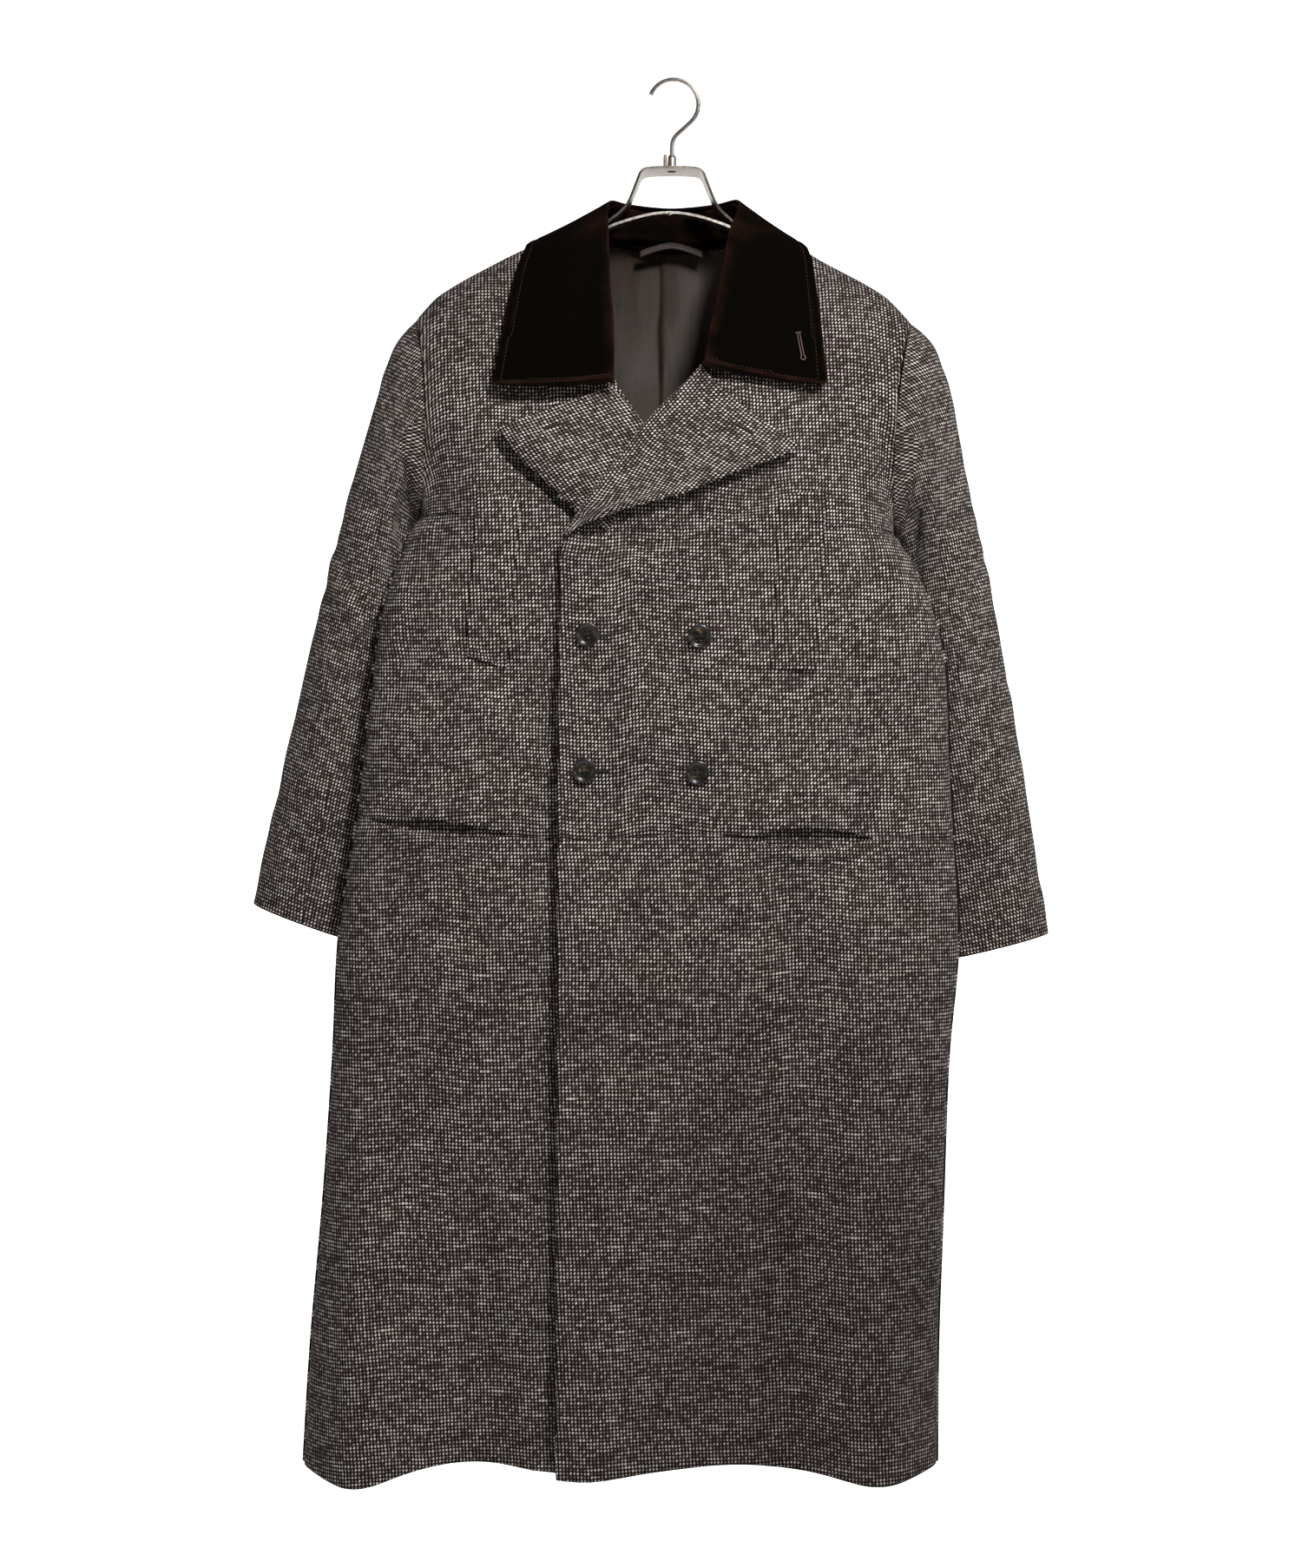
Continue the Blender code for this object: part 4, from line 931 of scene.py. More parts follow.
def sleeve_push(side, t, turn):
    """How far creases and slow waves move a sleeve's cloth inwards."""
    round_by, down_by = turn * SLEEVE_RADIUS, t * SLEEVE_LENGTH
    total = BROAD_WAVE * ripple(round_by, down_by, 110, 21 + side)
    total = total + SMALL_WAVE * ripple(round_by, down_by, 40, 23 + side)
    for wrinkle in WRINKLES:
        if wrinkle.side == side:
            round_it = (turn - wrinkle.turn) / wrinkle.length
            off = (t - wrinkle.t - wrinkle.slant * round_it - 0.012 * round_it ** 2) / wrinkle.width
            shape = bell(off, 1.0) - 0.55 * bell(off - 1.6, 1.0)
            total = total + wrinkle.depth * shape * bell(round_it, 1.0)
    head = SLEEVE_HEAD * bell(t - SLEEVE_HEAD_T, SLEEVE_HEAD_REACH) * bell(turn, 0.9) * ease(t / 0.02)
    hollow = bell(turn - ARMPIT_TURN, 0.55) * bell(t - ARMPIT_T, 0.16)
    total = total + ARMPIT_HOLLOW * hollow
    return total * ease(t / 0.10) * ease((1.02 - t) / 0.05) - head


for side, word in ((-1, "left"), (1, "right")):
    for part, first, last in (
        ("top", -TOP_SLEEVE_TURN, TOP_SLEEVE_TURN), ("under", TOP_SLEEVE_TURN, 2 * np.pi - TOP_SLEEVE_TURN),
    ):
        turn = blend(first, last, steps(66 if part == "top" else 46, 0.006, 0.014))[None, :]
        t = SLEEVE_STEPS[:, None]
        points = sleeve_point(side, t, turn)
        core = (sleeve_point(side, t, 0.0) + sleeve_point(side, t, np.pi)) / 2
        outward = points - core
        points = points - sleeve_push(side, t, turn)[..., None] * turned_out(points, outward)
        points = sunk(points, turned_out(points, outward), (TOP, FIRST, LAST))
        around = edge_distance(points)[FIRST]
        around = around - around[:, around.shape[1] // 2][:, None]
        grain_map = np.stack([around, edge_distance(points)[BOTTOM]], -1)
        name = "sleeve_%s_%s" % (word, part)
        sleeve = cloth(name + "_cloth", points, TWEED, outward, grain_map, (0, 0, 0.8, 0), tweed)
        hang(sleeve, name, grain_map, ["front_%s_upper_cloth" % word, "back_cloth"])

# Lapels: the tops of the fronts turned back over themselves, so the facing shows with
# its weave turned. Their free edges stand a little off the chest.
LAPEL = 2.8
Flap = namedtuple("Flap", "s roll_x roll_z free_x free_z roll free")
OVER_LAPEL = [
    Flap(0.0, 30, -306, 124, -390, 3, 8), Flap(0.35, -28, -364, 18, -436, 3.5, 9.5),
    Flap(0.75, -91, -447, -70, -462, 6, 7), Flap(1.0, -112, -480, -106, -479, 7, 3),
]
UNDER_LAPEL = [
    Flap(0.0, -63, -327, -177, -371, 3, 8), Flap(0.5, -37, -357, -120, -426, 3, 12),
    Flap(1.0, -15, -390, -68, -474, 2, 6),
]
ROLL_SHARE = 0.22
NOTCH_HOLLOW = 5.0
RIDGE_IN = 4.2
RIDGE_HALF = 2.4
RIDGE_HEIGHT = 1.7
RIDGE_FADE = 30.0
LAPEL_WAVE = 0.6
LAPEL_BULGES = (0.9, 0.9, 0.2, 0.9)
lapel_grids = {}


def laid_on_front(side, x, z, lift):
    """Points moved out from a front by a lift, along the front's own normals."""
    step = 1.5
    point = front_place(side, x, z)
    sideways = front_place(side, x + step, z) - front_place(side, x - step, z)
    upwards = front_place(side, x, z + step) - front_place(side, x, z - step)
    normal = np.cross(sideways, upwards)
    normal /= np.linalg.norm(normal, axis=-1, keepdims=True)
    return point + normal * np.asarray(lift)[..., None]


for side, word, table in ((-1, "left", UNDER_LAPEL), (1, "right", OVER_LAPEL)):
    s = steps(70, 0.006, 0.012)[:, None]
    w = steps(48, 0.006, 0.014)[None, :]
    x = blend(read(table, "roll_x", s), read(table, "free_x", s), w)
    z = blend(read(table, "roll_z", s), read(table, "free_z", s), w)
    fold = np.sqrt(1 - (1 - np.minimum(w / ROLL_SHARE, 1)) ** 2)
    lift = LAY_GAP + LAPEL + read(table, "roll", s) * fold + read(table, "free", s) * w ** 2
    lift = lift + LAPEL_WAVE * ripple(x, z, 55, 31 + side) * np.sin(np.pi * w)
    across = np.hypot(x[:, -1:] - x[:, :1], z[:, -1:] - z[:, :1])
    ridge = bell((1 - w) * across - RIDGE_IN, RIDGE_HALF) * ease(across / RIDGE_FADE)
    lift = lift + RIDGE_HEIGHT * ridge - RIDGE_HEIGHT * w ** 12
    hollow = NOTCH_HOLLOW * np.sin(np.pi * w ** 0.6) * (1 - s) ** 6 * (side > 0)
    points = laid_on_front(side, x - hollow, z - hollow, lift)
    lapel_grids[word] = points
    distances = edge_distance(points)
    grain_map = np.stack([distances[FIRST], -distances[TOP]], -1)
    name = "lapel_" + word
    lapel = cloth(name + "_cloth", points, LAPEL, FRONT_WAY, grain_map, LAPEL_BULGES, tweed)
    hang(lapel, name, grain_map, ["front_%s_upper_cloth" % word])

# Chest welts and pocket facings: strips of tweed, the welts sewn flat on the chest along
# their short ends, the facings inside the waist pockets where these gape.
WELT = 1.4
WELT_LAY = 0.15
WELT_LIFT = 2.6
WELT_BULGES = (0.4, 0.1, 0.4, 0.5)
FACING_MARGIN = 9.0
FACING_SINK = TWEED + 0.65
FACING_HOLLOW = 7.0
Corner = namedtuple("Corner", "x z")
WELTS = {
    "left": (-1, [Corner(-197, -431), Corner(-155, -445), Corner(-168, -612), Corner(-209, -600)]),
    "right": (1, [Corner(152, -432), Corner(106, -440), Corner(97, -612), Corner(140, -614)]),
}
for word, (side, corners) in WELTS.items():
    top_outer, top_inner, low_inner, low_outer = corners
    down = steps(60, 0.008, 0.016)[:, None]
    inward = steps(18, 0.03, 0.06)[None, :]
    x = blend(blend(top_outer.x, low_outer.x, down), blend(top_inner.x, low_inner.x, down), inward)
    z = blend(blend(top_outer.z, low_outer.z, down), blend(top_inner.z, low_inner.z, down), inward)
    flat_out = ease((1 - inward) / 0.5)
    lift = WELT + blend(WELT_LAY, WELT_LIFT, flat_out)
    points = laid_on_front(side, x, z, lift)
    grain_map = np.stack([x, z], -1)
    name = "welt_" + word
    welt = cloth(name + "_cloth", points, WELT, FRONT_WAY, grain_map, WELT_BULGES, tweed)
    hang(welt, name, grain_map, ["front_%s_upper_cloth" % word])
for pocket, word in zip(POCKETS, ("left", "right")):
    x = np.linspace(0, 1, 41)[None, :]
    x = blend(pocket.start - FACING_MARGIN, pocket.end + FACING_MARGIN, x)
    high, low = pocket.up + FACING_MARGIN, -pocket.down - FACING_MARGIN
    z = read(WAIST, "z", x) + blend(high, low, np.linspace(0, 1, 14))[:, None]
    x = np.broadcast_to(x, z.shape)
    points = laid_on_front(pocket.side, x, z, -FACING_SINK - FACING_HOLLOW * pocket_open(x) ** 1.5)
    grain_map = np.stack([x, z], -1)
    name = "pocket_facing_" + word
    facing = cloth(name + "_cloth", points, WELT, FRONT_WAY, grain_map, (0, 0, 0, 0), tweed)
    hang(facing, name, grain_map, ["front_%s_skirt_cloth" % word])

# Velvet: a short dense pile, near black, red-brown where it has been brushed, and with
# red-brown painted sheen where it bends over an edge, along the roll and the stitched band.
PILE_DARK = (0.0020, 0.0017, 0.0010, 1)
PILE_SHEEN_AND_BRUSHED_RED = (0.0240, 0.0085, 0.0060, 1)
BRUSHED_SCALE = 38.0
PILE_SCALE = 1500.0
PILE_BUMP = 0.0005
velvet, shader, shade = new_finish("velvet_pile", 1.0, 0.012, (0.40, 0.12, 0.08, 1))
shader.inputs["Specular IOR Level"].default_value = 0.02
form = shade.node("ShaderNodeTexCoord", {}, {}, "Object")
painted_sheen = shade.node("ShaderNodeAttribute", {"attribute_name": "painted_sheen"}, {}, "Fac")
brushed = form.noise(BRUSHED_SCALE, 4.0)
pile = form.noise(PILE_SCALE, 2.0)
# Red-brown mix: painted sheen from the point attribute, plus brushed patches at random.
sheen_and_brushed = (painted_sheen * (0.30 + brushed * 1.2) + (brushed - 0.55) * 0.5).between(0.05, 1.05)
sheen_and_brushed = sheen_and_brushed * (0.6 + pile * 0.8)
feed(shader, "Base Color", sheen_and_brushed.tint(PILE_DARK, PILE_SHEEN_AND_BRUSHED_RED))
bump(shader, shade, pile, 0.35, PILE_BUMP)

# Collar: one band of velvet folded over its roll, a fall that lies on the shoulders
# and lapels and a stand that rises from the neckline. Its edge is stitched 9 mm in.
VELVET = 2.0
ROLL_RADIUS = 2.2
CURL_TURNS = np.radians((195, 160, 125, 90, 60, 30))
STAND = 2.5
STITCH_IN = 9.0
STITCH_SINK = 1.1
STITCH_GROOVE = 1.3
EDGE_TURN_DOWN = 0.9
EDGE_TURN_REACH = 2.2
COLLAR_CLEAR = 5.0
FURTHEST_PUSH = 60.0
CORNER_ROUND = 9.0
END_SAG = 2.5
END_SAG_REACH = 25.0
LEAF_LIFT = 8.0
LEAF_REACH = 65.0
STAND_SPAN = (0.40, 0.60)
STAND_FOOT_HALF = 91.0
STAND_BEHIND = 4.0
STAND_BELOW = 6.0
STAND_OVER = 6.5
STAND_START = -0.16
STAND_CENTRE_Y = -20.0
Collar = namedtuple("Collar", "s roll_x roll_y roll_z free_x free_y free_z out_y out_z")
COLLAR = [
    Collar(0.00, -63, -82, -324, -184, -62, -326, -1, 0),
    Collar(0.12, -63, -68, -267, -174, -50, -271, -1, 0.1),
    Collar(0.23, -67, -52, -218, -164, -34, -215, -1, 0.3),
    Collar(0.32, -69, -30, -170, -155, -16, -183, -1, 1),
    Collar(0.40, -68, 0, -125, -146, 2, -167, 0, 1),
    Collar(0.45, -49, 30, -121, -112, 42, -186, 1, 0.6),
    Collar(0.475, -26, 42, -122, -62, 62, -196, 1, 0.3),
    Collar(0.50, -2, 46, -123, -2, 68, -199, 1, 0.1),
    Collar(0.525, 24, 42, -122, 56, 62, -196, 1, 0.3),
    Collar(0.55, 47, 30, -121, 104, 42, -186, 1, 0.6),
    Collar(0.60, 69, 0, -124, 132, 2, -169, 0, 1),
    Collar(0.68, 58, -30, -165, 141, -16, -184, -1, 1),
    Collar(0.77, 52, -50, -202, 145, -34, -218, -1, 0.3),
    Collar(0.88, 41, -66, -255, 149, -50, -261, -1, 0.1),
    Collar(1.00, 31, -80, -308, 154, -64, -327, -1, 0),
]


def inside_body(point):
    """True where points lie within the coat's body."""
    x, y, z = point[..., 0], point[..., 1], point[..., 2]
    row = row_at(x, z)
    front = body_point(-1, row, across_at(-1, row, x))[..., 1]
    behind = body_point(1, row, across_at(1, row, x))[..., 1]
    return (z <= seam_z(x)) & np.where(y < 0, y > front, y < behind)


def outside(point, clearance):
    """True where points keep a clearance from the body, behind and below them."""
    face = np.where(point[..., 1] < 0, -1.0, 1.0)
    clear = np.ones(face.shape, bool)
    for degrees in (0, 45, 90, 135):
        back_part = math.cos(math.radians(degrees))
        down_part = math.sin(math.radians(degrees))
        probe = point.copy()
        probe[..., 1] -= clearance * face * back_part
        probe[..., 2] -= clearance * down_part
        clear &= ~inside_body(probe)
    return clear


def pushed_clear(point, direction, clearance):
    """Move points along a direction, as little as brings them clear of the body."""
    free = outside(point, clearance)

    def short(push):
        return ~outside(point + direction * push[..., None], clearance)

    push = closed_in(np.zeros(free.shape), np.full(free.shape, FURTHEST_PUSH), 13, short)[1]
    return point + direction * np.where(free, 0.0, push)[..., None]


def collar_row(part, s):
    """Points of the collar's roll or of its free edge."""
    return np.stack([read(COLLAR, part + axis, s) for axis in "xyz"], -1)


s = steps(190, 0.002, 0.005)
w = steps(44, 0.008, 0.018)
roll = collar_row("roll_", s)[:, None, :]
free = collar_row("free_", s)[:, None, :]
out = np.stack([np.zeros_like(s), read(COLLAR, "out_y", s), read(COLLAR, "out_z", s)], -1)
out /= np.linalg.norm(out, axis=-1, keepdims=True)
out_grid = np.broadcast_to(out[:, None, :], (len(s), len(w), 3))
free_run = np.concatenate([[0], np.cumsum(np.linalg.norm(np.diff(free[:, 0], axis=0), axis=-1))])
from_end = np.minimum(free_run, free_run[-1] - free_run)
short = np.maximum(0.0, CORNER_ROUND - from_end)
drawn_in = CORNER_ROUND - np.sqrt(CORNER_ROUND ** 2 - short ** 2)
drawn_in = drawn_in / np.linalg.norm(free - roll, axis=-1)[:, 0]
reached = w[None, :] * (1 - drawn_in[:, None])
flat_points = blend(roll, free, reached[..., None])
flat_points[..., 2] -= END_SAG * np.sin(np.pi * w)[None, :] * bell(from_end, END_SAG_REACH)[:, None]
pushed = pushed_clear(flat_points, out_grid, COLLAR_CLEAR) - flat_points
for _ in range(14):
    pushed[1:-1] = pushed[1:-1] * 0.5 + (pushed[:-2] + pushed[2:]) * 0.25
    pushed[:, 1:-1] = pushed[:, 1:-1] * 0.5 + (pushed[:, :-2] + pushed[:, 2:]) * 0.25
leaf = bell(from_end, LEAF_REACH)[:, None] * (0.35 + 0.65 * w)[None, :]
points = flat_points + pushed + out_grid * (LEAF_LIFT * leaf)[..., None]
normal = turned_out(points, out_grid)
distances = edge_distance(points)
from_edge = np.minimum(np.minimum(distances[TOP], distances[BOTTOM]), distances[LAST])
groove = bell(from_edge - STITCH_IN, STITCH_GROOVE)
turn_down = bell(from_edge, EDGE_TURN_REACH)
points = points - normal * (STITCH_SINK * groove + EDGE_TURN_DOWN * turn_down)[..., None]
leaf_points, leaf_normal, leaf_distances = points.copy(), normal, distances
along_roll = points[:, 0] - points[:, 2]
along_roll /= np.linalg.norm(along_roll, axis=-1, keepdims=True)
curl, curl_way = [], []
for turn in CURL_TURNS:
    out_of_roll = math.sin(turn) * along_roll - (1 - math.cos(turn)) * normal[:, 0]
    curl.append(points[:, 0] + ROLL_RADIUS * out_of_roll)
    curl_way.append(math.sin(turn) * along_roll + math.cos(turn) * normal[:, 0])
points = np.concatenate([np.stack(curl, 1), points], 1)
normal_way = np.concatenate([np.stack(curl_way, 1), normal], 1)
lengths = edge_distance(points)
grain_map = np.stack([lengths[FIRST], -lengths[TOP]], -1)
from_ends = np.minimum(distances[TOP], distances[BOTTOM])
# Painted sheen on the collar's velvet: along the edges and the stitch line, on the stitched band at the
# ends, along and over the roll, and all over its curl.
edge_sheen = 0.45 * bell(from_edge, 2.2) + 0.35 * bell(from_edge - STITCH_IN + 1.6, 1.4)
band_sheen = 0.9 * bell(from_ends - STITCH_IN + 2.6, 2.2)
roll_sheen = 0.40 * bell(distances[FIRST], 9.0)
top_sheen = 0.55 * bell(np.abs(s - 0.5) - 0.14, 0.05)[:, None] * np.exp(-(distances[FIRST] / 60.0))
painted_sheen_marks = np.maximum(np.maximum(edge_sheen, band_sheen), np.maximum(roll_sheen, top_sheen))
painted_sheen_marks = np.concatenate([np.full((len(s), len(curl)), 0.7), painted_sheen_marks], 1)
fall = cloth("collar_fall_cloth", points, VELVET, normal_way, grain_map,
             (0.8, 0.9, 0.8, 0.1), velvet, painted_sheen_marks)
hang(fall, "collar_fall", grain_map,
     ["front_left_upper_cloth", "front_right_upper_cloth", "back_cloth"])

i = np.linspace(0, 1, 81)
stand_s = blend(STAND_SPAN[0], STAND_SPAN[1], i)
foot_x = NECK_MIDDLE + STAND_FOOT_HALF * np.sin(blend(-1, 1, i) * np.pi / 2)
foot_depth = np.sqrt(np.maximum(0.0, 1 - ((foot_x - NECK_MIDDLE) / NECK_HALF) ** 2))
foot = np.stack([foot_x, NECK_DEPTH * foot_depth, seam_z(foot_x) + LAY_GAP], -1)
stand_roll = collar_row("roll_", stand_s)
inward = np.stack([NECK_MIDDLE - stand_roll[:, 0], STAND_CENTRE_Y - stand_roll[:, 1], np.zeros_like(i)], -1)
inward /= np.linalg.norm(inward, axis=-1, keepdims=True)
head = stand_roll + inward * STAND_BEHIND - np.array([0.0, 0.0, STAND_BELOW])
level = np.linspace(STAND_START, 1, 21)[:, None, None]
stands_in = STAND + STAND_OVER * ease((0.30 - level) / 0.35)
points = blend(foot[None], head[None], level) + stands_in * inward[None]
lengths = edge_distance(points)
grain_map = np.stack([lengths[FIRST], -lengths[TOP]], -1)
# Painted sheen on the stand's velvet, growing towards its top edge.
stand_sheen = np.broadcast_to(0.25 + 0.4 * level[..., 0] ** 3, points.shape[:2])
stand = cloth("collar_stand_cloth", points, STAND, inward, grain_map,
              (0.4, 0.2, 0.4, 0.2), velvet, stand_sheen)
hang(stand, "collar_stand", grain_map, ["back_cloth"])

# Lining: a smooth grey-brown twill that hangs inside the back from the collar stand,
# with a pleat down its middle, and the loop of the same cloth sewn below the stand.
LINING = 1.0
LINING_HALF = 0.27
LINING_ROW = 1.15
LINING_OFF = 2.2
LINING_SLACK = 1.6
PLEAT_X = -13.0
PLEAT = 1.6
LINING_DARK = (0.0095, 0.0050, 0.0030, 1)
LINING_LIGHT = (0.034, 0.0187, 0.0110, 1)
TWILL_SCALE = 9000.0
TWILL_SLANT = 0.7
WORN_SCALE = 26.0
STREAKS = (240.0, 16.0, 1.0)
SPOT_SCALE = 420.0
TWILL_BUMP = 0.0006
lining, shader, shade = new_finish("lining_twill", 0.5, 0.05, (0.75, 0.62, 0.70, 1))
shader.inputs["Specular IOR Level"].default_value = 0.25
grain = shade.node("ShaderNodeUVMap", {"uv_map": "grain"}, {}, "UV")
twill = shade.maths("SINE", (grain.part(0) * TWILL_SLANT + grain.part(1)) * TWILL_SCALE)
worn = grain.noise(WORN_SCALE, 4.0)
streak = grain.place(STREAKS).noise(1.0, 3.0)
spots = grain.noise(SPOT_SCALE, 1.0).between(0.74, 0.80)
tone = (worn * 0.7 + streak * 0.6 + twill * 0.06 - 0.2).between(0.0, 0.85) * (1.0 - spots * 0.5)
feed(shader, "Base Color", tone.tint(LINING_DARK, LINING_LIGHT))
feed(shader, "Roughness", 0.42 + worn * 0.2)
bump(shader, shade, twill * 0.3 + streak, 0.25, TWILL_BUMP)

across = blend(-LINING_HALF, LINING_HALF, steps(90, 0.004))[None, :]
rows = np.linspace(0.002, LINING_ROW, 110)[:, None]
rows, across = np.broadcast_arrays(rows, across)
points = body_point(1, rows, across)
normal = turned_out(points, BACK_WAY)
pleat = PLEAT * np.tanh((points[..., 0] - PLEAT_X) / PLEAT)
slack = LINING_SLACK * ripple(points[..., 0] * 2.2, points[..., 2] * 0.5, 80, 41) + pleat
slack = slack * ease(rows / 0.10)
points = points - normal * (TWEED + LAY_GAP + LINING_OFF + np.clip(slack, -2.0, 6.0))[..., None]
grain_map = hung_grain(points, 0.0, 90)
lined = cloth("lining_back_cloth", points, LINING, BACK_WAY, grain_map, (0.1, 0.1, 0.1, 0.1), lining)
hang(lined, "lining_back", grain_map, ["back_cloth"])

LOOP_MIDDLE = -2.3
LOOP_HALF = 33.0
LOOP_FOOT = -173.0
LOOP_RISE = 9.0
LOOP_WIDTH = 6.5
LOOP_THICK = 1.4
LOOP_IN = 12.5
LOOP_STANDS = 5.0
t = np.linspace(-1, 1, 49)[None, :]
x = LOOP_MIDDLE + LOOP_HALF * t
z = LOOP_FOOT + LOOP_RISE * (1 - np.abs(t) ** 1.5) + LOOP_WIDTH * np.linspace(0.5, -0.5, 9)[:, None]
y = NECK_DEPTH * np.sqrt(1 - ((x - NECK_MIDDLE) / NECK_HALF) ** 2) - LOOP_IN - LOOP_STANDS * (1 - t * t)
points = np.stack(np.broadcast_arrays(x, y, z), -1)
grain_map = np.stack([edge_distance(points)[FIRST], z], -1)
loop = cloth("hanger_loop_cloth", points, LOOP_THICK, FRONT_WAY, grain_map, (0.4, 0.2, 0.4, 0.2), lining)
hang(loop, "hanger_loop", grain_map, ["lining_back_cloth"])

# Buttons: four turned horn buttons, dished inside a raised rim, each sewn on through
# four holes with dark thread. Dark horn is clouded with olive and polished.
HORN_DARK = (0.0075, 0.0058, 0.0046, 1)
HORN_OLIVE = (0.034, 0.027, 0.017, 1)
HORN_AMBER = (0.190, 0.120, 0.052, 1)
HORN_CLOUDS = 110.0
HORN_FLAMES = (60.0, 1.0, 180.0)
BUTTON_SEGMENTS = 72
BUTTON_BACK = 10.4
DISH_RADIUS = 6.4
DISH_OUT = 2.65
BUTTON_HOLE = 1.15
BUTTON_HOLE_PITCH = 2.3
BUTTON_HOLE_DEPTH = 2.4
BUTTON_LIFT = 0.6
THREAD_RADIUS = 0.38
THREAD_APART = 0.35
DARK_THREAD_AND_SLIT_SHADE = (0.012, 0.008, 0.007, 1)
Turned = namedtuple("Turned", "radius out")
BUTTON_PROFILE = [
    Turned(12.0, 1.6), Turned(12.0, 3.3), Turned(11.8, 3.8), Turned(11.3, 4.15), Turned(10.6, 4.25),
    Turned(9.9, 4.1), Turned(9.3, 3.6), Turned(8.7, 3.05), Turned(7.8, 2.75), Turned(DISH_RADIUS, DISH_OUT),
]
BUTTONS = [Corner(-87, -579), Corner(25, -581), Corner(-90, -715), Corner(23, -717)]
horn, shader, shade = new_finish("horn_polished", 0.28)
shader.inputs["Coat Weight"].default_value = 0.4
shader.inputs["Coat Roughness"].default_value = 0.15
form = shade.node("ShaderNodeTexCoord", {}, {}, "Object")
cloud = form.noise(HORN_CLOUDS, 3.0)
flame = form.place(HORN_FLAMES).noise(1.0, 3.0)
base = cloud.between(0.45, 0.72).tint(HORN_DARK, HORN_OLIVE)
feed(shader, "Base Color", (flame * cloud * 2.0).between(0.72, 0.95).tint(base, HORN_AMBER))
feed(shader, "Roughness", 0.2 + cloud * 0.2)


def plain_finish(name, roughness, colour):
    """A material of one colour."""
    finish, shader, _ = new_finish(name, roughness)
    shader.inputs["Base Color"].default_value = colour
    return finish


def made_of(name, points, faces, finish):
    """Mesh object from points in millimetres, smooth, with one finish."""
    mesh = bpy.data.meshes.new(name)
    corners = [tuple(int(k) for k in face) for face in faces]
    mesh.from_pydata((np.asarray(points) * METRES).tolist(), [], corners)
    mesh.validate()
    mesh.shade_smooth()
    mesh.materials.append(finish)
    piece = bpy.data.objects.new(name, mesh)
    bpy.context.scene.collection.objects.link(piece)
    return piece


def ring_faces(rings, around, first=0):
    """Faces between rings of points, each ring joined to the next."""
    faces = []
    for i in range(rings - 1):
        low, high = first + i * around, first + (i + 1) * around
        for k in range(around):
            after = (k + 1) % around
            faces.append((low + k, low + after, high + after, high + k))
    return faces


def tubes(name, routes, radius, finish, sides=6):
    """Round threads along routes of points, all in one object."""
    points, faces = [], []
    for route in routes:
        route = np.asarray(route, float)
        ahead = np.gradient(route, axis=0)
        ahead /= np.maximum(1e-9, np.linalg.norm(ahead, axis=-1, keepdims=True))
        across = np.cross(ahead, np.array([0.13, 1.0, 0.21]))
        across /= np.maximum(1e-9, np.linalg.norm(across, axis=-1, keepdims=True))
        other = np.cross(ahead, across)
        first = len(points)
        for here, a, b in zip(route, across, other):
            for k in range(sides):
                turn = 2 * math.pi * k / sides
                points.append(here + radius * (math.cos(turn) * a + math.sin(turn) * b))
        faces += ring_faces(len(route), sides, first)
        last = first + (len(route) - 1) * sides
        faces.append(tuple(range(first, first + sides)))
        faces.append(tuple(range(last, last + sides)))
    return made_of(name, points, faces, finish)


# The dark thread finish also serves as painted shade in the buttonhole slits.
thread_and_slit_shade = plain_finish("thread_dark_and_slit_shade", 0.8, DARK_THREAD_AND_SLIT_SHADE)
centre_radii = np.concatenate([np.linspace(DISH_RADIUS, 0.5, 22)[1:], [0.05]])
for number, place in enumerate(BUTTONS, 1):
    seat = laid_on_front(1, np.array([place.x]), np.array([place.z]), np.array([BUTTON_LIFT]))[0]
    profile = [Turned(BUTTON_BACK, 0.0)] + BUTTON_PROFILE
    profile += [Turned(radius, DISH_OUT) for radius in centre_radii]
    points = []
    for ring in profile:
        for k in range(BUTTON_SEGMENTS):
            turn = 2 * math.pi * k / BUTTON_SEGMENTS
            x, z = ring.radius * math.cos(turn), ring.radius * math.sin(turn)
            hole = math.hypot(abs(x) - BUTTON_HOLE_PITCH, abs(z) - BUTTON_HOLE_PITCH)
            sink = BUTTON_HOLE_DEPTH * ease((BUTTON_HOLE + 0.15 - hole) / 0.3)
            sink = sink if ring.radius <= DISH_RADIUS else 0.0
            points.append(seat + np.array([x, sink - ring.out, z]))
    faces = ring_faces(len(profile), BUTTON_SEGMENTS)
    faces.append(tuple(range(BUTTON_SEGMENTS)))
    faces.append(tuple(range((len(profile) - 1) * BUTTON_SEGMENTS, len(profile) * BUTTON_SEGMENTS)))
    button = made_of("button_%d_horn" % number, points, faces, horn)
    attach(button, "root")
    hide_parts("button_%d" % number)
    routes = []
    for across in (-BUTTON_HOLE_PITCH, BUTTON_HOLE_PITCH):
        for shift in (-THREAD_APART, THREAD_APART):
            route = []
            for k, z in enumerate(np.linspace(-BUTTON_HOLE_PITCH, BUTTON_HOLE_PITCH, 9)):
                route.append((across + shift, -0.5 - 2.7 * math.sin(math.pi * k / 8) ** 0.4, z))
            routes.append(seat + np.array(route))
    thread = tubes("button_%d_thread" % number, routes, THREAD_RADIUS, thread_and_slit_shade)
    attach(thread, "root")

